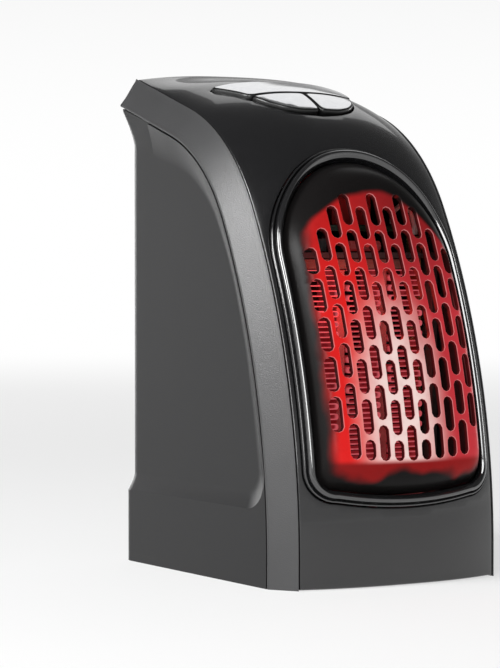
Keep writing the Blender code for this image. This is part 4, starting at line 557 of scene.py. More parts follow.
def loft(name, rings, look=None, closed=False, angle=SMOOTH_ANGLE):
    """Skin rings that have equally many points, with flat ends unless the skin closes on itself."""
    edit = bmesh.new()
    rows = [[edit.verts.new(point) for point in ring] for ring in rings]
    pairs = around(rows)
    if not closed:
        pairs.pop()
        edit.faces.new(rows[0])
        edit.faces.new(rows[-1])
    for low, high in pairs:
        join_rings(edit, low, high)
    return from_bmesh(name, edit, look, angle)


def prism(name, outline, reach, look=None):
    first = [Vector(point) for point in outline]
    return loft(name, [first, [point + Vector(reach) for point in first]], look)


def box(name, low, high):
    (x0, y0, z0), (x1, y1, z1) = low, high
    base = [(x0, y0, z0), (x1, y0, z0), (x1, y1, z0), (x0, y1, z0)]
    return prism(name, base, (0, 0, z1 - z0))


def rod(name, centre, radius, start, end, sides=LATHE_STEPS):
    """A round bar from y start to y end about the (x, z) centre."""
    edit = bmesh.new()
    outline = ((0, start), (radius, start), (radius, end), (0, end))
    verts = [edit.verts.new((reach, y, 0)) for reach, y in outline]
    edges = [edit.edges.new(pair) for pair in zip(verts, verts[1:])]
    parts = verts + edges
    bmesh.ops.spin(edit, geom=parts, axis=(0, 1, 0), angle=math.tau, steps=sides, use_merge=True)
    bmesh.ops.remove_doubles(edit, verts=edit.verts, dist=GAP * GAP)
    x, z = centre
    bmesh.ops.translate(edit, vec=(x, 0, z), verts=edit.verts)
    return from_bmesh(name, edit)


def combine(target, tool, operation="DIFFERENCE"):
    """Cut the tool from the target, or join or intersect them, and delete the tool."""
    modifier = target.modifiers.new(tool.name, "BOOLEAN")
    modifier.operation = operation
    modifier.object = tool
    modifier.solver = "EXACT"
    settled(target)
    bpy.data.objects.remove(tool)
    return target


def profile(t):
    """Depth ahead of the rear plane, height above the base and backward lean at t."""
    if t <= FOOT_RISE:
        return FRONT_DEPTH, t, 0.0
    if t <= LOWER_END:
        lean = (t - FOOT_RISE) / LOWER_RADIUS
        depth = LOWER_CENTRE + LOWER_RADIUS * math.cos(lean)
        return depth, FOOT_RISE + LOWER_RADIUS * math.sin(lean), lean
    if t <= UPPER_END:
        lean = LOWER_LEAN + (t - LOWER_END) / UPPER_RADIUS
        depth = UPPER_CENTRE + UPPER_RADIUS * math.cos(lean)
        return depth, UPPER_CENTRE_RISE + UPPER_RADIUS * math.sin(lean), lean
    run = t - UPPER_END
    depth = TOP_START_DEPTH - run * math.sin(TOP_LEAN)
    return depth, TOP_START_RISE + run * math.cos(TOP_LEAN), TOP_LEAN


def eased(pairs, share):
    """The value at a share, on a smooth curve through the listed pairs."""
    last = len(pairs) - 1
    for i in range(last):
        low, first = pairs[i]
        high, second = pairs[i + 1]
        if share <= high:
            along = max(0.0, (share - low) / (high - low))
            before = slope(pairs, i) * (high - low)
            after = slope(pairs, i + 1) * (high - low)
            bend = 2 * first - 2 * second + before + after
            lift = 3 * second - 3 * first - 2 * before - after
            return first + before * along + lift * along**2 + bend * along**3
    return pairs[-1][1]


def slope(pairs, i):
    """A slope at listed pair i that never overshoots its neighbours."""
    if i in (0, len(pairs) - 1):
        return 0.0
    (x0, y0), (x1, y1), (x2, y2) = pairs[i - 1 : i + 2]
    before = (y1 - y0) / (x1 - x0)
    after = (y2 - y1) / (x2 - x1)
    if before * after <= 0:
        return 0.0
    return 2 * before * after / (before + after)


def straight(pairs, share):
    for (low, first), (high, last) in zip(pairs, pairs[1:]):
        if share <= high:
            return first + (last - first) * max(0.0, (share - low) / (high - low))
    return pairs[-1][1]


def crown(x, t):
    across = min(1.0, abs(x) / FASCIA_HALF_WIDTH)
    return CROWN * eased(CROWN_SHARES, t / PROFILE_LENGTH) * (1 - across**CROWN_POWER)


def raised(x, t, offset):
    """The point at x, offset outwards from the side edge's profile at t."""
    if t >= PROFILE_LENGTH:
        t = PROFILE_LENGTH + offset / math.tan(TOP_LEAN)
    depth, rise, lean = profile(t)
    ahead = depth + offset * math.cos(lean)
    return Vector((x, REAR_Y - ahead, BASE_Z + rise + offset * math.sin(lean)))


def front_point(x, t, proud=0.0):
    return raised(x, t, crown(x, t) + proud)


def stations():
    """Even places up the profile."""
    return [PROFILE_LENGTH * i / STATION_STEPS for i in range(STATION_STEPS + 1)]


def mirrored(points):
    """The points, whose first number is x, on the other side and in reverse."""
    return [(-x, *others) for x, *others in reversed(points)]


def on_front(loop, proud):
    return [front_point(x, t, proud) for x, t in loop]


def arch_loop(half, arch_start, rise, bottom, corner):
    """(x, t) points anticlockwise round an arched opening, from the foot of its right side."""
    low = bottom + WINDOW_SAG + corner
    flat = half - corner
    points = [(half, low + (arch_start - low) * i / LONG_STEPS) for i in range(LONG_STEPS)]
    for i in range(ARCH_STEPS):
        turn = math.pi * i / ARCH_STEPS
        points.append((half * math.cos(turn), arch_start + rise * math.sin(turn)))
    points += [(-half, arch_start - (arch_start - low) * i / LONG_STEPS) for i in range(LONG_STEPS)]
    for i in range(CORNER_STEPS):
        turn = math.pi * i / CORNER_STEPS / 2
        points.append((-flat - corner * math.cos(turn), low - corner * math.sin(turn)))
    for i in range(BOTTOM_STEPS):
        across = 2 * i / BOTTOM_STEPS - 1
        points.append((flat * across, bottom + WINDOW_SAG * across * across))
    for i in range(CORNER_STEPS):
        turn = math.pi * (1 - i / CORNER_STEPS) / 2
        points.append((flat + corner * math.cos(turn), low - corner * math.sin(turn)))
    return points


def window_loop(inset=0.0):
    """The outlet window's outline, drawn in by the inset."""
    half = WINDOW_HALF_WIDTH - inset
    rise = WINDOW_ARCH_RISE - inset
    corner = WINDOW_CORNER - inset
    return arch_loop(half, WINDOW_ARCH_START, rise, WINDOW_BOTTOM + inset, corner)


def offset_loop(loop, distance):
    """The loop grown by the distance. It runs anticlockwise."""
    moved = []
    for i, point in enumerate(loop):
        here = Vector(point)
        first = (here - Vector(loop[i - 1])).normalized()
        last = (Vector(loop[(i + 1) % len(loop)]) - here).normalized()
        both = Vector((first.y + last.y, -first.x - last.x))
        moved.append(tuple(here + both * (2 * distance / both.length_squared)))
    return moved


def resampled(loop):
    """The loop's corners with points added along its straight stretches."""
    points = []
    for start, end in around([Vector(point) for point in loop]):
        steps = max(1, round((end - start).length / CHORD))
        points += [tuple(start.lerp(end, j / steps)) for j in range(steps)]
    return points


def grid_between(loop, spacing):
    """A plain grid of (x, t) points over the loop's box."""
    xs = [x for x, _ in loop]
    ts = [t for _, t in loop]
    columns = round((max(xs) - min(xs)) / spacing)
    rows = round((max(ts) - min(ts)) / spacing)
    points = []
    for j in range(1, rows):
        for i in range(1, columns):
            x = min(xs) + (max(xs) - min(xs)) * i / columns
            points.append((x, min(ts) + (max(ts) - min(ts)) * j / rows))
    return points


def clear_of(points, borders, distance):
    tree = KDTree(len(borders))
    for i, (x, t) in enumerate(borders):
        tree.insert((x, t, 0), i)
    tree.balance()
    return [(x, t) for x, t in points if tree.find((x, t, 0))[2] > distance]


def front_sheet(name, outer, holes, look, wall, rise, edge=EDGE_RADIUS, spacing=SKIN_SPACING):
    """A plate on the front surface with rounded edges round its outline and its holes.

    outer and holes are anticlockwise (x, t) loops, and rise gives the plate's height at (x, t).
    The attribute depth tells how far each vertex lies below the plate's outer skin.
    """
    loops = [(outer, 1.0)] + [(hole, -1.0) for hole in holes]
    flat = []
    edges = []
    spans = []
    for loop, sign in loops:
        first = len(flat)
        flat += offset_loop(loop, -sign * edge)
        edges += around(list(range(first, first + len(loop))))
        spans.append((first, loop, sign))
    flat += clear_of(grid_between(outer, spacing), flat, spacing * GRID_CLEAR_SHARE)
    triangles = filled(flat, edges)
    edit = bmesh.new()
    depth = edit.verts.layers.float.new("depth")
    top, bottom = {}, {}
    for corner in sorted({corner for triangle in triangles for corner in triangle}):
        x, t = flat[corner]
        top[corner] = edit.verts.new(front_point(x, t, rise(x, t)))
    for first, loop, sign in spans:
        ring = [top[first + i] for i in range(len(loop))]
        for step in range(1, EDGE_STEPS + 1):
            turn = math.pi * step / EDGE_STEPS / 2
            back = offset_loop(loop, sign * edge * (math.sin(turn) - 1))
            drop = edge * (1 - math.cos(turn))
            ring = bridge(edit, ring, [front_point(x, t, rise(x, t) - drop) for x, t in back])
            for vertex in ring:
                vertex[depth] = drop
        low = bridge(edit, ring, [front_point(x, t, rise(x, t) - wall) for x, t in loop])
        for vertex in low:
            vertex[depth] = wall
        bottom.update({first + i: vertex for i, vertex in enumerate(low)})
    for corner in top:
        if corner not in bottom:
            x, t = flat[corner]
            bottom[corner] = edit.verts.new(front_point(x, t, rise(x, t) - wall))
    for a, b, c in triangles:
        edit.faces.new((top[a], top[b], top[c]))
        edit.faces.new((bottom[c], bottom[b], bottom[a]))
    return from_bmesh(name, edit, look, SHEET_ANGLE)


def filled(flat, walls):
    """Triangles of the region on the left of the first wall, up to the other walls."""
    places = [Vector(point) for point in flat]
    _, _, faces, sources, _, _ = delaunay_2d_cdt(places, walls, [], 0, NEAR)
    triangles = [tuple(sources[corner][0] for corner in face) for face in faces]
    sides = {}
    for triangle in triangles:
        for pair in around(triangle):
            sides.setdefault(frozenset(pair), []).append(triangle)
    closed = {frozenset(wall) for wall in walls}
    start, end = (places[i] for i in walls[0])
    left = Vector((start.y - end.y, end.x - start.x))
    waiting = []
    for triangle in sides[frozenset(walls[0])]:
        middle = sum((places[corner] for corner in triangle), Vector((0, 0))) / 3
        if (middle - start).dot(left) > 0:
            waiting.append(triangle)
    found = set(waiting)
    while waiting:
        triangle = waiting.pop()
        for pair in around(triangle):
            if frozenset(pair) not in closed:
                fresh = [other for other in sides[frozenset(pair)] if other not in found]
                found.update(fresh)
                waiting += fresh
    return sorted(found)


def bridge(edit, ring, places):
    """Add a ring of vertices and the faces that join it to the last ring."""
    made = [edit.verts.new(place) for place in places]
    join_rings(edit, ring, made)
    return made


def no_rise(x, t):
    return 0.0


def fascia(look):
    """Gloss front that bends over into the top, with the window and the panel open."""
    half, low, high = FASCIA_HALF_WIDTH, FASCIA_LIFT, PROFILE_LENGTH - FASCIA_LIFT
    outline = resampled([(-half, low), (half, low), (half, high), (-half, high)])
    holes = [window_loop(), panel_loop(PANEL_FRONT, PANEL_REAR, PANEL_GAP)]
    return front_sheet("fascia", outline, holes, look, FASCIA_WALL, no_rise)


def panel_place(share):
    """t at a share of the panel's length from its front."""
    return PANEL_FRONT + (PANEL_REAR - PANEL_FRONT) * share


def panel_half_width(t):
    share = (t - PANEL_FRONT) / (PANEL_REAR - PANEL_FRONT)
    return PANEL_HALF_WIDTH * straight(PANEL_SHARES, share)


def panel_side(low, high):
    """(x, t) points up the right side of the shield-shaped panel, from t low to t high."""
    ts = [panel_place(share) for share, _ in PANEL_SHARES]
    ts = [low] + [t for t in ts if low < t < high] + [high]
    return [(panel_half_width(t), t) for t in ts]


def panel_loop(low, high, margin=0.0):
    right = panel_side(low, high)
    return rounded(offset_loop(resampled(right + mirrored(right)), margin))


def rounded(loop):
    """The loop with its corners eased."""
    for _ in range(ROUND_PASSES):
        count = len(loop)
        loop = [
            tuple((Vector(loop[i - 1]) + 2 * Vector(loop[i]) + Vector(loop[(i + 1) % count])) / 4)
            for i in range(count)
        ]
    return loop


def panel_rise(x, t):
    return PANEL_PROUD


def display_plate(look):
    """Plate over the display, from the panel's division back."""
    split = panel_place(PANEL_SPLIT_SHARE) + GAP / 2
    loop = panel_loop(split, PANEL_REAR)
    return front_sheet("display_plate", loop, [], look, PANEL_WALL, panel_rise, PANEL_EDGE)


def key_cap(side, sign, look):
    """Half of the shield's front."""
    split = panel_place(PANEL_SPLIT_SHARE) - GAP / 2
    first = panel_place(PANEL_SHARES[1][0])
    right = [(x - GAP / 2, t) for x, t in panel_side(first, split)]
    loop = right + [(GAP / 2, split), (GAP / 2, first)]
    if sign < 0:
        loop = mirrored(loop)
    loop = rounded(resampled(loop))
    return front_sheet("key_cap_" + side, loop, [], look, PANEL_WALL, panel_rise, PANEL_EDGE)


def key_plate_left(look):
    return key_cap("left", -1, look)


def key_plate_right(look):
    return key_cap("right", 1, look)


def section_with_rim():
    """The frame's section as (x, offset, crown share) points: two bands and the sunk tray."""
    step = FASCIA_HALF_WIDTH + GAP
    width = SEAM_HALF_WIDTH - step
    right = [(SEAM_HALF_WIDTH - x, -BAND_DROP + rise, 0) for x, rise in BAND_FOOT]
    for i in range(BAND_STEPS + 1):
        across = i / BAND_STEPS
        x = SEAM_HALF_WIDTH - BAND_FOOT[-1][0] - (width - BAND_FOOT[-1][0] - BAND_RIM) * across
        drop = BAND_DROP * (1 - BAND_RISE_SHARE) * (1 - across)
        bulge = BAND_BULGE * 4 * across * (1 - across)
        right.append((x, -drop - BAND_RIM_DROP + bulge, 0))
    right += [(step + x, rise, 0) for x, rise in RIM_POINTS]
    tray = [(FASCIA_HALF_WIDTH * i / TRAY_STEPS, -TRAY_TOP, 1) for i in range(TRAY_STEPS, -1, -1)]
    right += [(step, -TRAY_TOP, 1)] + tray
    outside = right + mirrored(right[:-1])
    inner = SEAM_HALF_WIDTH - BAND_WALL
    under = [(inner, -BAND_DROP, 0)]
    under += [(FASCIA_HALF_WIDTH * i / TRAY_STEPS, -TRAY_BOTTOM, 1) for i in range(TRAY_STEPS, -1, -1)]
    inside = under + mirrored(under[:-1])
    return outside + inside[::-1]


def frame_end(name, t, inset, reach):
    """A wall that closes the frame's foot or its rear end, from the seam up into the tray."""
    bed = TRAY_TOP + TRAY_WALL / 2
    seam = -BAND_DROP + FRAME_END_RISE
    side = SEAM_HALF_WIDTH - BAND_WALL / 2
    right = [(side, seam)]
    right += [(FASCIA_HALF_WIDTH * s, crown(FASCIA_HALF_WIDTH * s, t) - bed) for s in FLANGE_SHARES]
    outline = right + mirrored(right[:-1])
    return prism(name, [raised(x, t, offset) + Vector(inset) for x, offset in outline], reach)


def band_frame(look):
    """Satin bands beside the fascia, and the tray that carries it."""
    section = section_with_rim()
    rings = []
    for t in stations():
        rings.append([raised(x, t, offset + share * crown(x, t)) for x, offset, share in section])
    frame = loft("band_frame", rings, look)
    combine(frame, frame_end("frame foot", 0, (0, 0, FASCIA_LIFT), (0, 0, FLOOR)), "UNION")
    back = frame_end("frame back", PROFILE_LENGTH, (0, -FASCIA_LIFT, 0), (0, -SHELL_WALL, 0))
    combine(frame, back, "UNION")
    bed = -BEZEL_DEPTH - OVERRUN
    combine(frame, loft("window cut", [on_front(window_loop(), h) for h in (bed, OVERRUN)]))
    panel = panel_loop(PANEL_FRONT, PANEL_REAR, PANEL_TRAY_GAP)
    combine(frame, loft("panel cut", [on_front(panel, h) for h in (-TRAY_BOTTOM - OVERRUN, OVERRUN)]))
    return even_shading(frame)


def plan_outline(half, rear, radius, z):
    """A plan section with rounded rear corners that runs past the front."""
    points = [(-half, AHEAD_Y, z), (half, AHEAD_Y, z)]
    rising = range(PLAN_STEPS + 1)
    for sign, turns in ((1, rising), (-1, reversed(rising))):
        for i in turns:
            turn = math.pi * i / PLAN_STEPS / 2
            x = half - radius + radius * math.cos(turn)
            points.append((sign * x, rear - radius + radius * math.sin(turn), z))
    return points


def shell_block(look):
    """Everything behind the seam, with rounded rear corners."""
    wide = SEAM_HALF_WIDTH + OVERRUN
    seam = [raised(0, t, SEAM_OFFSET) for t in stations()]
    rear_top = seam[-1] + Vector((0, OVERRUN, 0))
    rear_base = Vector((0, REAR_Y + OVERRUN, BASE_Z))
    side = [point - Vector((wide, 0, 0)) for point in seam + [rear_top, rear_base]]
    shell = prism("side_shell", side, (2 * wide, 0, 0), look)
    top = seam[-1].z
    heights = (
        (BASE_Z - OVERRUN, CORNER_RADIUS),
        (top - TOP_CORNER_FADE, CORNER_RADIUS),
        (top, TOP_CORNER_RADIUS),
        (top + OVERRUN, TOP_CORNER_RADIUS),
    )
    rings = [plan_outline(SEAM_HALF_WIDTH, REAR_Y, radius, z) for z, radius in heights]
    return combine(shell, loft("shell plan", rings), "INTERSECT")


def recess_outline(share, x):
    """The side recess in depth and height: its foot at share 0, its upper edge at share 1."""
    floor = RECESS_FOOT + (RECESS_EDGE - RECESS_FOOT) * share
    radius = RECESS_FOOT_RADIUS + (RECESS_EDGE_RADIUS - RECESS_FOOT_RADIUS) * share
    rising = []
    for t in stations():
        ramp = RAMP_WIDTH * eased(RAMP_SHARES, t / PROFILE_LENGTH)
        rising.append(raised(x, t, SEAM_OFFSET - ramp * (1 - share)))
    rising = [point for point in rising if point.z > BASE_Z + RECESS_FOOT + RECESS_CORNER_RISE]
    lean = (rising[1].y - rising[0].y) / (rising[1].z - rising[0].z)
    low = BASE_Z + floor
    foot_y = rising[0].y + lean * (low + radius - rising[0].z)
    corner = []
    for i in range(CORNER_STEPS + 1):
        turn = math.pi * i / CORNER_STEPS / 2
        y = foot_y + radius * (1 - math.sin(turn))
        corner.append(Vector((x, y, low + radius * (1 - math.cos(turn)))))
    beyond = REAR_Y + 2 * OVERRUN
    tilt = math.cos(TOP_LEAN) / math.sin(TOP_LEAN)
    end = Vector((x, beyond, rising[-1].z + (beyond - rising[-1].y) * tilt))
    return [Vector((x, beyond, low))] + corner + rising + [end]


def recess_cutter(name, sign):
    """The sunk panel of one side: a cove from its edge down to a flat floor."""
    reach = CORNER_RADIUS / RECESS_DEPTH
    shares = [i / RAMP_LEVELS for i in range(RAMP_LEVELS + 1)]
    levels = [(0.0, -reach)] + [(share, cove(share)) for share in shares]
    levels.append((RECESS_CUT_SHARE, RECESS_CUT_SHARE))
    rings = []
    for share, depth in levels:
        x = sign * (RECESS_HALF_WIDTH + RECESS_DEPTH * depth)
        rings.append(recess_outline(share, x))
    cutter = loft(name, rings)
    core = [recess_core(0.0, BASE_Z - OVERRUN)] + core_top()
    return combine(cutter, loft(name + " core", core))


def recess_core(share, z, radius=CORE_RADIUS):
    """A plan section of what the recess leaves standing, at a share of its ramp."""
    half = RECESS_HALF_WIDTH + RECESS_DEPTH * cove(share)
    return plan_outline(half, REAR_Y + CORNER_OVERLAP, radius, z)


def core_top():
    """Sections that widen up the rear corner, where the recess runs out."""
    ramp = RAMP_WIDTH * RAMP_SHARES[-1][1]
    high = raised(0, PROFILE_LENGTH, SEAM_OFFSET).z
    low = raised(0, PROFILE_LENGTH, SEAM_OFFSET - ramp).z
    rings = []
    for i in range(RAMP_LEVELS + 1):
        share = RECESS_CUT_SHARE * i / RAMP_LEVELS
        blend = min(1.0, share)
        radius = CORE_RADIUS * (1 - blend) + TOP_CORNER_RADIUS * blend
        rings.append(recess_core(share, low + (high - low) * share, radius))
    return rings + [recess_core(RECESS_CUT_SHARE, ABOVE_TOP, TOP_CORNER_RADIUS)]


def rear_corner_cutter(name, sign):
    """Carries the recess and its foot round the rear corner."""
    inner = sign * (RECESS_HALF_WIDTH - CORNER_RADIUS)
    outer = sign * (SEAM_HALF_WIDTH + OVERRUN)
    start = REAR_Y - 3 * CORNER_RADIUS
    low = (min(inner, outer), start, BASE_Z + RECESS_EDGE - GAP)
    cutter = box(name, low, (max(inner, outer), REAR_Y + OVERRUN, ABOVE_TOP - GAP))
    shares = [RECESS_CUT_SHARE * (1 - i / RAMP_LEVELS) for i in range(RAMP_LEVELS + 1)]
    fall = RECESS_EDGE - RECESS_FOOT
    rings = [recess_core(RECESS_CUT_SHARE, BASE_Z - OVERRUN)]
    rings += [recess_core(share, BASE_Z + RECESS_FOOT + fall * share) for share in shares]
    return combine(cutter, loft(name + " core", rings + core_top()))


def cove(share):
    """How far up the ramp stands at a share of its width: flat at the foot, steep at the edge."""
    return share * share * (1.5 - 0.5 * share)


def side_shell(look):
    """Sides, back and rear part of the base."""
    shell = shell_block(look)
    for side, sign in (("left", -1), ("right", 1)):
        combine(shell, recess_cutter("recess " + side, sign))
        combine(shell, rear_corner_cutter("rear corner " + side, sign))
    base = BASE_Z + FLOOR
    low, high = (-CAVITY_HALF_WIDTH, AHEAD_Y, base), (CAVITY_HALF_WIDTH, WALL_INSIDE, ABOVE_TOP)
    combine(shell, box("cavity", low, high))
    wide = SEAM_HALF_WIDTH - SHELL_WALL
    low, high = (-wide, AHEAD_Y, base), (wide, REAR_Y - LOW_CAVITY_SET_BACK, BASE_Z + LOW_CAVITY_TOP)
    combine(shell, box("low cavity", low, high))
    start, end = REAR_Y + OVERRUN, WALL_INSIDE - OVERRUN
    combine(shell, rod("plug hole", (0, 0), HUB_RADIUS + GAP, start, end))
    for x, height in SCREW_WELLS:
        centre = (x, BASE_Z + height)
        combine(shell, rod("screw well", centre, SCREW_HEAD_RADIUS + GAP, start, end, ROD_SIDES))
    combine(shell, inlet_cutter())
    z = BASE_Z + SWITCH_HEIGHT
    length, height = SWITCH_OPENING
    low = (CAVITY_HALF_WIDTH - OVERRUN, -SWITCH_DEPTH - length / 2, z - height / 2)
    high = (SEAM_HALF_WIDTH + OVERRUN, -SWITCH_DEPTH + length / 2, z + height / 2)
    return even_shading(combine(shell, box("switch opening", low, high)))


def inlet_cutter():
    """The back's air slots: one rounded slot, repeated in columns and two rows."""
    sizes = {
        "Columns": INLET_COLUMNS,
        "Pitch": INLET_PITCH,
        "Row step": INLET_HEIGHTS[1] - INLET_HEIGHTS[0],
        "Slot width": INLET_SLOT_WIDTH,
        "Slot length": INLET_SLOT_LENGTH,
        "Depth": SHELL_WALL + 2 * OVERRUN,
        "Middle": BASE_Z + sum(INLET_HEIGHTS) / 2,
        "Rear": REAR_Y + OVERRUN,
    }
    recipe = Recipe("inlet_cutter", sizes)
    slot = rounded_slot(recipe, recipe.size("Slot width"), recipe.size("Slot length"))
    filled_slot = recipe.node("GeometryNodeFillCurve", {"Curve": slot})
    depth = {"Mesh": filled_slot, "Offset Scale": recipe.size("Depth"), "Individual": False}
    solid = recipe.node("GeometryNodeExtrudeMesh", depth)
    closed = recipe.node("GeometryNodeJoinGeometry", {0: solid})
    recipe.feed(closed.inputs[0], recipe.node("GeometryNodeFlipFaces", {0: filled_slot}))
    grid = {
        "Size X": recipe.size("Pitch") * (recipe.size("Columns") - 1),
        "Size Y": recipe.size("Row step"),
        "Vertices X": recipe.size("Columns"),
        "Vertices Y": 2,
    }
    places = recipe.node("GeometryNodeMeshGrid", grid)
    copies = recipe.node("GeometryNodeInstanceOnPoints", {"Points": places, "Instance": closed})
    upright = {
        "Geometry": copies,
        "Translation": recipe.vector(0.0, recipe.size("Rear"), recipe.size("Middle")),
        "Rotation": (math.pi / 2, 0, 0),
    }
    placed = recipe.node("GeometryNodeTransform", upright)
    return merged(recipe.make(placed, None))


def rounded_slot(recipe, width, length):
    """A closed curve with straight sides and round ends."""
    frame = {"Width": width, "Height": length}
    sides = recipe.node("GeometryNodeCurvePrimitiveQuadrilateral", frame)
    ends = {"Curve": sides, "Radius": width * ROUND_SHARE, "Count": SLOT_END_STEPS}
    return recipe.node("GeometryNodeFilletCurve", ends, mode="POLY")


def merged(made):
    edit = bmesh.new()
    edit.from_mesh(made.data)
    bmesh.ops.remove_doubles(edit, verts=edit.verts, dist=NEAR)
    bmesh.ops.recalc_face_normals(edit, faces=edit.faces)
    edit.to_mesh(made.data)
    edit.free()
    return made


def bezel(look):
    """Gloss rim round the grille, with an inner bead and a sloping inside."""
    rings = [on_front(window_loop(inset), proud) for inset, proud in BEZEL_SECTION]
    return loft("bezel", rings, look, closed=True, angle=BEZEL_ANGLE)


def bezel_bead(look):
    """Round bead along the bezel's outside: a circle swept round the window's outline."""
    recipe = Recipe("bezel_bead", {"Bead radius": BEAD_RADIUS, "Bead sides": BEAD_SIDES})
    path = recipe.node("GeometryNodeMeshToCurve", {0: recipe.start.outputs[0]})
    ring = {"Radius": recipe.size("Bead radius"), "Resolution": recipe.size("Bead sides")}
    circle = recipe.node("GeometryNodeCurvePrimitiveCircle", ring)
    swept = recipe.node("GeometryNodeCurveToMesh", {0: path, 1: circle})
    smooth = recipe.node("GeometryNodeSetShadeSmooth", {0: swept})
    line = bpy.data.meshes.new("bezel_bead")
    places = on_front(window_loop(BEAD_INSET), BEAD_PROUD)
    line.from_pydata(places, around(list(range(len(places)))), [])
    return recipe.make(smooth, look, add_object("bezel_bead", line))


def inside_arch(x, t, half, start, rise, bottom, corner):
    if t > start:
        return (x / half) ** 2 + ((t - start) / rise) ** 2 <= 1
    flat = half - corner
    low = bottom + WINDOW_SAG * min(1.0, abs(x) / flat) ** 2
    if abs(x) <= flat:
        return t >= low
    if t >= low + corner:
        return abs(x) <= half
    return math.hypot(abs(x) - flat, low + corner - t) <= corner


def flank_share(x, t):
    """0 at the grille's rim and 1 from the edge of its domed field inwards."""
    inset = BEZEL_WIDTH + 2 * GAP
    rim = (
        WINDOW_HALF_WIDTH - inset,
        WINDOW_ARCH_START,
        WINDOW_ARCH_RISE - inset,
        WINDOW_BOTTOM + inset,
        WINDOW_CORNER - inset,
    )
    half = DOME_HALF_WIDTH
    field = (half, FIELD_ARCH_START, half, FIELD_BOTTOM, FIELD_CORNER)
    low, high = 0.0, 1.0
    for _ in range(FLANK_SEARCHES):
        middle = (low + high) / 2
        if inside_arch(x, t, *(a + (b - a) * middle for a, b in zip(rim, field))):
            low = middle
        else:
            high = middle
    return high


def grille_rise(x, t):
    """Height of the domed grille: a round flank, then a field that follows the front."""
    share = flank_share(x, t)
    return -GRILLE_RIM_DROP + (GRILLE_RIM_DROP + GRILLE_PROUD) * (1 - (1 - share) ** FLANK_POWER)


def slot_runs(column):
    """(start, end) up the surface of each slot in a column counted from the middle one.

    Odd columns are staggered downwards, so that their lowest slot is cut short.
    """
    x = column * SLOT_PITCH
    reach = abs(x) + SLOT_WIDTH / 2
    half = FIELD_HALF_WIDTH
    arch = (1 - (reach / half) ** SLOT_ARCH_POWER) ** (1 / SLOT_ARCH_POWER)
    top = SLOT_ARCH_START + SLOT_ARCH_RISE * arch - SLOT_EDGE
    start = FIELD_BOTTOM + WINDOW_SAG * (x / half) ** 2 + SLOT_EDGE
    beyond = max(0.0, reach - half + FIELD_CORNER)
    low = start + FIELD_CORNER - math.sqrt(FIELD_CORNER**2 - beyond**2)
    if column % 2:
        start -= SLOT_RISE * SLOT_STAGGER_SHARE
    runs = []
    while start < top:
        run = (max(start, low), min(start + SLOT_LENGTH, top))
        if run[1] - run[0] > SLOT_LENGTH * SHORTEST_SLOT_SHARE:
            runs.append(run)
        start += SLOT_RISE
    return runs


def slot_rings():
    """Every slot's outline, laid flat: a circle on each slot's middle, drawn out to its length."""
    sizes = {"Slot width": SLOT_WIDTH, "Sides": SLOT_SIDES, "Chord": CHORD}
    recipe = Recipe("slot_rings", sizes)
    radius = recipe.size("Slot width") / 2
    circle = {"Vertices": recipe.size("Sides"), "Radius": radius}
    ring = recipe.node("GeometryNodeMeshCircle", circle)
    turned_ring = {"Geometry": ring, "Rotation": (0, 0, math.pi / SLOT_SIDES)}
    even = recipe.node("GeometryNodeTransform", turned_ring)
    _, up, _ = recipe.split(recipe.node("GeometryNodeInputPosition"))
    end = {"Geometry": even, "Name": "end", "Value": up.maths("SIGN", up)}
    marked = recipe.node("GeometryNodeStoreNamedAttribute", end)
    copies = {"Points": recipe.start.outputs[0], "Instance": marked}
    placed = recipe.node("GeometryNodeInstanceOnPoints", copies)
    plain = recipe.node("GeometryNodeRealizeInstances", {0: placed})
    shift = recipe.stored("end") * recipe.stored("reach")
    drawn = {"Geometry": plain, "Offset": recipe.vector(y=shift)}
    long_rings = recipe.node("GeometryNodeSetPosition", drawn)
    curves = recipe.node("GeometryNodeMeshToCurve", {0: long_rings})
    even_steps = {"Curve": curves, "Length": recipe.size("Chord")}
    points = recipe.node("GeometryNodeResampleCurve", even_steps, mode="LENGTH")
    lines = recipe.node("GeometryNodeCurveToMesh", {0: points})
    return loops_of(recipe.make(lines, None, slot_middles()))


def slot_middles():
    """A vertex on each slot's middle, with how far its round ends lie from it."""
    side = SLOT_COLUMNS // 2
    middles = []
    for column in range(-side, side + 1):
        for start, end in slot_runs(column):
            reach = (end - start - SLOT_WIDTH) / 2
            middles.append((column * SLOT_PITCH, (start + end) / 2, reach))
    mesh = bpy.data.meshes.new("slot_rings")
    mesh.from_pydata([(x, t, 0) for x, t, _ in middles], [], [])
    lengths = mesh.attributes.new("reach", "FLOAT", "POINT")
    lengths.data.foreach_set("value", [reach for _, _, reach in middles])
    return add_object("slot_rings", mesh)


def loops_of(made):
    """The object's closed edge loops as anticlockwise (x, t) lists. The object is deleted."""
    places = [tuple(vertex.co.xy) for vertex in made.data.vertices]
    nexts = {}
    for edge in made.data.edges:
        a, b = edge.vertices
        nexts.setdefault(a, []).append(b)
        nexts.setdefault(b, []).append(a)
    bpy.data.objects.remove(made)
    loops = []
    left = set(nexts)
    while left:
        walk = [min(left)]
        while walk:
            left.discard(walk[-1])
            ahead = [i for i in nexts[walk[-1]] if i in left]
            if not ahead:
                break
            walk.append(ahead[0])
        loop = [places[i] for i in walk]
        area = sum(x0 * t1 - x1 * t0 for (x0, t0), (x1, t1) in around(loop))
        loops.append(loop if area > 0 else loop[::-1])
    return loops


def grille(look):
    """Domed grille, with every slot's edge rounded."""
    rim = window_loop(BEZEL_WIDTH + 2 * GAP)
    return front_sheet(
        "grille", rim, slot_rings(), look, GRILLE_WALL, grille_rise, SLOT_EDGE_RADIUS, GRILLE_SPACING
    )


def element_left():
    bars = FIN_STRIPS - 1
    return -(FIN_STRIPS * FIN_WIDTH + bars * PTC_WALL + 2 * bars * GAP) / 2


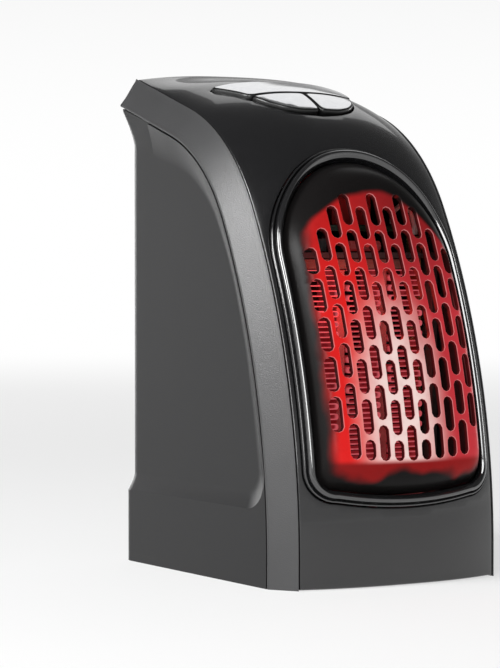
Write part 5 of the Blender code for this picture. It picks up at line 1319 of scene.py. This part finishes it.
def fins(look):
    """Folded heating fins: four strips bent to and fro up the element."""
    height = 2 * (DUCT_HALF_HEIGHT - DUCT_WALL - 2 * GAP - HOLDER_WALL)
    passes = round(height / FIN_PITCH)
    sizes = {
        "Passes": passes,
        "Height": height - FIN_WALL,
        "Width": FIN_WIDTH - FIN_WALL,
        "Depth": FIN_DEPTH,
        "Bend radius": FIN_BEND,
        "Strips": FIN_STRIPS,
        "Strip step": FIN_WIDTH + PTC_WALL + 2 * GAP,
        "Left": element_left() + FIN_WALL / 2,
        "Front": -DUCT_PLATE_FRONT - GAP - FIN_DEPTH,
        "Low": BASE_Z + FAN_HEIGHT - height / 2 + FIN_WALL / 2,
    }
    recipe = Recipe("heating_fins", sizes)
    line = recipe.node("GeometryNodeMeshLine", {"Count": recipe.size("Passes") * 2})
    index = recipe.value("GeometryNodeInputIndex")
    rung = index // 2
    side = (index + 1) // 2 % 2
    step = recipe.size("Height") / (recipe.size("Passes") - 1)
    place = recipe.vector(side * recipe.size("Width"), 0.0, rung * step)
    folds = {"Geometry": line, "Position": place}
    path = recipe.node("GeometryNodeSetPosition", folds)
    bends = {
        "Curve": recipe.node("GeometryNodeMeshToCurve", {0: path}),
        "Radius": recipe.size("Bend radius"),
        "Count": FIN_BEND_STEPS,
    }
    bent = recipe.node("GeometryNodeFilletCurve", bends, mode="POLY")
    edge = recipe.node("GeometryNodeCurveToMesh", {0: bent})
    depth = {"Mesh": edge, "Offset": recipe.vector(y=recipe.size("Depth")), "Offset Scale": 1.0}
    sheet = recipe.node("GeometryNodeExtrudeMesh", depth, mode="EDGES")
    row = {"Count": recipe.size("Strips"), "Offset": recipe.vector(recipe.size("Strip step"))}
    places = recipe.node("GeometryNodeMeshLine", row)
    strips = recipe.node("GeometryNodeInstanceOnPoints", {"Points": places, "Instance": sheet})
    start = recipe.vector(recipe.size("Left"), recipe.size("Front"), recipe.size("Low"))
    placed = recipe.node("GeometryNodeTransform", {"Geometry": strips, "Translation": start})
    made = merged(recipe.make(placed, look))
    wall = made.modifiers.new("wall", "SOLIDIFY")
    wall.thickness = FIN_WALL
    wall.offset = 0
    return shade(settled(made), FIN_ANGLE)


def moulded(name, colour, variation, roughness, grain, depth, gloss):
    """Moulded plastic: clouded colour and a fine spark-eroded grain."""
    surface = Surface(name, specular_ior_level=gloss)
    clouds = surface.noise(90.0, 3.0)
    fine = surface.noise(1 / grain, 1.5)
    light = tuple(channel * (1 + variation) for channel in colour)
    dark = tuple(channel * (1 - variation) for channel in colour)
    surface.colour(clouds * 0.6 + fine * 0.4, dark, light)
    surface.paint("Roughness", fine * 0.16 + clouds * 0.06 + (roughness - 0.11))
    surface.bump(fine, depth)
    return surface.material


def glossy(name, colour, roughness, wave, ior):
    """Polished black plastic, with the slight waviness of a moulding and faint hairlines."""
    surface = Surface(name, coat_roughness=0.04, ior=ior)
    slow = surface.noise(38.0, 1.0)
    specks = surface.noise(900.0, 2.0)
    surface.colour(specks, colour, tuple(c * 1.5 for c in colour))
    surface.paint("Roughness", surface.noise(240.0, 3.0) * 0.05 + specks * 0.03 + roughness)
    surface.paint("Coat Weight", specks * 0.1 + 0.6)
    surface.bump(slow, wave)
    return surface.material


def silvered(name):
    """Mirror-like metallised window plates, black on their rounded edges and sides."""
    surface = Surface(name)
    haze = surface.noise(520.0, 3.0)
    black_edge = surface.stored("depth").ramp(0.0, SILVER_EDGE)
    silver = surface.mix(haze, (0.72, 0.73, 0.75), (0.86, 0.86, 0.87))
    surface.colour(black_edge, silver, (0.004, 0.004, 0.004))
    surface.paint("Metallic", (haze * 0.04 + 0.93) * (1 - black_edge))
    surface.paint("Roughness", haze * 0.06 + 0.09 + black_edge * 0.2)
    surface.bump(surface.noise(60.0, 1.0), SILVER_WAVE)
    return surface.material


def grille_with_painted_glow(name):
    """Black plastic with painted light: emission paints its slotted field as lit from inside, red, and
    nearly white low in the middle.
    """
    surface = Surface(name, specular_ior_level=0.08, emission_strength=1.0)
    x, _, z = surface.axes()
    grain = surface.noise(4200.0, 1.5)
    surface.colour(grain, (0.005, 0.0045, 0.0045), (0.009, 0.008, 0.008))
    surface.paint("Roughness", grain * 0.12 + 0.24)
    surface.bump(grain, GRILLE_GRAIN)
    # Painted light: the element's glow is painted as emission, white low in the middle, red round it,
    # and darker red high up and at the foot
    slow = surface.noise(70.0, 2.0) - 0.5
    mottle = surface.noise(420.0, 3.0)
    across = wandering(x, slow, *WHITE_ACROSS)
    up = wandering(z, slow, *WHITE_UP)
    spread = (across * across + up * up) ** 0.5
    white = (1 - spread.ramp(0.35, 1.45)) * (mottle * 0.3 + 0.85)
    right = x.ramp(*RED_X)
    high = z.ramp(*DEEP_RED_Z)
    red = surface.mix(right, (0.74, 0.009, 0.008), (0.5, 0.026, 0.036))
    deep = surface.mix(high * (right * 0.45 + 0.5), red, (0.2, 0.003, 0.004))
    field = z.ramp(*RED_FOOT_Z)
    low = surface.mix(1 - field, deep, (0.24, 0.001, 0.001))
    glow = surface.mix(white * field, low, (0.86, 0.66, 0.62))
    depth = surface.stored("depth")
    # Painted highlight: the rounded slot edges are painted lighter, as thin bright outlines round each
    # slot
    rim = depth.ramp(0.0, SLOT_RIM_DEPTH) * (mottle * 0.5 + 0.3)
    glow_with_painted_rims = surface.mix(rim, glow, (0.9, 0.36, 0.36))
    # Painted shade: the slot walls are painted a dim red light that darkens the deeper it lies
    inside = surface.mix(depth.ramp(*SLOT_SHADE_DEPTHS), (0.07, 0.001, 0.002), (0.02, 0.0, 0.0))
    shown = surface.mix(depth.ramp(*SLOT_WALL_DEPTHS), glow_with_painted_rims, inside)
    # Painted light: the painted glow shows only where the element's light falls, and fades out onto the
    # dark flank
    light = lit_field(x, z, slow) * (mottle * 0.3 + 0.85)
    surface.paint("Emission Color", surface.mix(light, (0.0, 0.0, 0.0), shown))
    return surface.material


def wandering(way, slow, middle, reach, drift):
    """How far a point lies from a spot's middle in its reaches, with an edge that wanders."""
    return (way - middle + slow * drift) / reach


def lit_field(x, z, slow):
    """1 where the element lights the grille and 0 on its dark flank, with a soft, uneven edge."""
    beside = abs(x - LIT_MIDDLE + slow * LIT_DRIFT) + z.ramp(*LIT_NARROWS_Z) * LIT_NARROWING
    side = 1 - beside.ramp(LIT_HALF_WIDTH - LIT_FADE_INWARDS, LIT_HALF_WIDTH + LIT_FADE_OUTWARDS)
    low = (z + slow * LIT_FOOT_DRIFT).ramp(*LIT_FOOT_Z)
    bend = x.ramp(*LIT_BEND_X) * (LIT_RIGHT_BEND - LIT_LEFT_BEND) + LIT_LEFT_BEND
    top = 1 - (z + x * x * bend + slow * LIT_DRIFT).ramp(-LIT_TOP_FADE, LIT_TOP_FADE)
    return side * low * top


def hot_fins(name):
    """Dark oxidised fins, red hot along their front edges."""
    surface = Surface(name, metallic=0.6, emission_strength=1.0)
    _, y, _ = surface.axes()
    front = -DUCT_PLATE_FRONT - GAP - FIN_DEPTH
    edge = 1 - y.ramp(front + FIN_EDGE, front + 5 * FIN_EDGE)
    blotches = surface.noise(420.0, 3.0)
    surface.colour(blotches, (0.10, 0.03, 0.03), (0.2, 0.06, 0.05))
    surface.paint("Roughness", blotches * 0.25 + 0.4)
    hot = surface.mix(edge, (0.10, 0.004, 0.006), (0.52, 0.09, 0.11))
    patches = blotches.ramp(0.3, 0.7) * 0.5
    surface.paint("Emission Color", surface.mix(patches, hot, (0.26, 0.02, 0.025)))
    return surface.material


def hot_ceramic(name):
    """Heat-stained ceramic with a dull red glow."""
    surface = Surface(name, emission_strength=1.0)
    stains = surface.noise(300.0, 3.0)
    surface.colour(stains, (0.1, 0.05, 0.045), (0.18, 0.1, 0.09))
    surface.paint("Roughness", stains * 0.2 + 0.5)
    surface.paint("Emission Color", surface.mix(stains, (0.05, 0.001, 0.002), (0.12, 0.004, 0.005)))
    return surface.material


def brushed(name, colour, roughness, stretch):
    """Metal with fine lines along one axis."""
    surface = Surface(name, metallic=1.0)
    lines = surface.noise(900.0, 3.0, surface.stretched(stretch))
    dark = tuple(channel * 0.82 for channel in colour)
    surface.colour(lines, dark, colour)
    surface.paint("Roughness", lines * 0.18 + roughness)
    surface.bump(lines, BRUSH_DEPTH)
    return surface.material


def board(name):
    """Lacquered circuit board with its weave faintly showing."""
    surface = Surface(name)
    weave = surface.cells(1400.0)
    surface.colour(weave, (0.005, 0.024, 0.011), (0.01, 0.04, 0.018))
    surface.paint("Roughness", weave * 0.2 + 0.25)
    surface.bump(weave, WEAVE_DEPTH)
    return surface.material


def lead_jacket(name, colour):
    """Soft plastic round a lead, with a slow waviness."""
    surface = Surface(name)
    flow = surface.noise(300.0, 2.0)
    dark = tuple(channel * 0.7 for channel in colour)
    surface.colour(flow, dark, colour)
    surface.paint("Roughness", flow * 0.2 + 0.3)
    surface.bump(flow, JACKET_WAVE)
    return surface.material


def finishes():
    """One material for each of the record's material slots, and the bezel's own gloss."""
    made = {
        "smoked": silvered("silvered plate"),
        "grille_black": grille_with_painted_glow("lit grille"),
        "board_green": board("board lacquer"),
        "aluminium": hot_fins("hot fins"),
        "ceramic": hot_ceramic("hot ceramic"),
    }
    kinds = ((moulded, MOULDED), (glossy, GLOSSY), (brushed, BRUSHED), (lead_jacket, JACKETS))
    for finish, table in kinds:
        for slot, *settings in table:
            made[slot] = finish(*settings)
    return made


def floor(look):
    """A flat square of paper under the heater."""
    half = PAPER_SIZE / 2
    signs = ((-1, -1), (1, -1), (1, 1), (-1, 1))
    mesh = bpy.data.meshes.new("floor")
    mesh.from_pydata([(a * half, b * half, BASE_Z) for a, b in signs], [], [(0, 1, 2, 3)])
    return add_object("floor", mesh, look)


def white_to_lens(name, colour):
    """Plain paper that keeps the shadows, and turns white for the lens and in gloss further off."""
    surface = Surface(name, roughness=0.85)
    surface.colour(surface.noise(3.0), colour, tuple(c * 0.985 for c in colour))
    path = surface.node("ShaderNodeLightPath").outputs
    rays = Value(surface, path["Is Camera Ray"])
    for kind in ("Is Glossy Ray", "Is Transmission Ray"):
        rays = rays + Value(surface, path[kind])
    x, y, _ = surface.axes()
    far = ((x * x + y * y) ** 0.5).ramp(*PAPER_FADE)
    glow = surface.node("ShaderNodeEmission", {"Color": (1, 1, 1, 1), "Strength": 1.0})
    share = rays.maths("MINIMUM", rays, 1.0) * (far * 0.4 + 0.6)
    mixed = surface.node("ShaderNodeMixShader", {0: share, 1: surface.shader, 2: glow})
    surface.feed(surface.tree.nodes["Material Output"].inputs["Surface"], mixed)
    return surface.material


def lamp(name, kind, place, power):
    made = add_object(name, bpy.data.lights.new(name, kind))
    made.data.energy = power
    made.location = place
    return made


def aim(made, ahead):
    made.rotation_euler = ahead.to_track_quat("-Z", "Y").to_euler()


def sky():
    """A world that is bright low down and dark overhead, and brightest for the lens."""
    world = bpy.data.worlds.new("studio")
    bpy.context.scene.world = world
    world.use_nodes = True
    graph = Graph(world.node_tree)
    back = world.node_tree.nodes["Background"]
    _, _, height = graph.split(graph.node("ShaderNodeTexCoord").outputs["Generated"])
    level = 1 - height.ramp(*SKY_SHARES) * 0.88
    seen = graph.value("ShaderNodeLightPath", output="Is Camera Ray")
    grey = graph.node("ShaderNodeCombineXYZ", {0: level, 1: level, 2: level})
    graph.feed(back.inputs["Color"], grey)
    graph.feed(back.inputs["Strength"], seen * 0.25 + 0.75)


def studio():
    """Floor, soft lamps, the element's own light and the world."""
    ground = floor(white_to_lens("floor paper", (0.8, 0.8, 0.8)))
    for name, place, target, size, power in SOFTBOXES:
        soft = lamp(name, "AREA", place, power)
        soft.data.shape = "RECTANGLE"
        soft.data.size, soft.data.size_y = size
        aim(soft, Vector(target) - Vector(place))
    inside = lamp("element light", "POINT", ELEMENT_LIGHT, ELEMENT_POWER)
    inside.data.color = ELEMENT_COLOUR
    inside.data.shadow_soft_size = ELEMENT_LIGHT_RADIUS
    sky()


def camera():
    data = bpy.data.cameras.new("camera")
    data.lens = CAMERA_LENS
    data.clip_start = CLIP_START
    made = add_object("camera", data)
    made.location = CAMERA_PLACE
    across = math.radians(CAMERA_AZIMUTH)
    down = math.radians(CAMERA_TILT)
    level = math.cos(down)
    aim(made, Vector((math.sin(across) * level, math.cos(across) * level, -math.sin(down))))
    bpy.context.scene.camera = made


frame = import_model()
looks = finishes()
for node in frame["nodes"].values():
    for held in node.material_slots:
        held.material = looks[held.material.name.split(".")[0]]

covers = (
    (fascia, "gloss_black", "housing", ("front_fascia",)),
    (band_frame, "band_grey", "housing", ("front_frame",)),
    (side_shell, "shell_grey", "housing", ("rear_shell",)),
    (bezel, "bezel", "housing", ("outlet_bezel",)),
    (bezel_bead, "bezel", "housing", ()),
    (grille, "grille_black", "housing", ("outlet_grille",)),
    (display_plate, "smoked", "housing", ("display_window",)),
    (key_plate_left, "smoked", "key_left", ("key_left",)),
    (key_plate_right, "smoked", "key_right", ("key_right",)),
    (fins, "aluminium", "housing", ("fin_strip_1", "fin_strip_2", "fin_strip_3", "fin_strip_4")),
)
for build, finish, body, stood_for in covers:
    piece = build(looks[finish])
    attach(piece, body)
    if stood_for:
        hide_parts(*stood_for)

studio()
camera()
bpy.context.scene.view_settings.view_transform = "Standard"
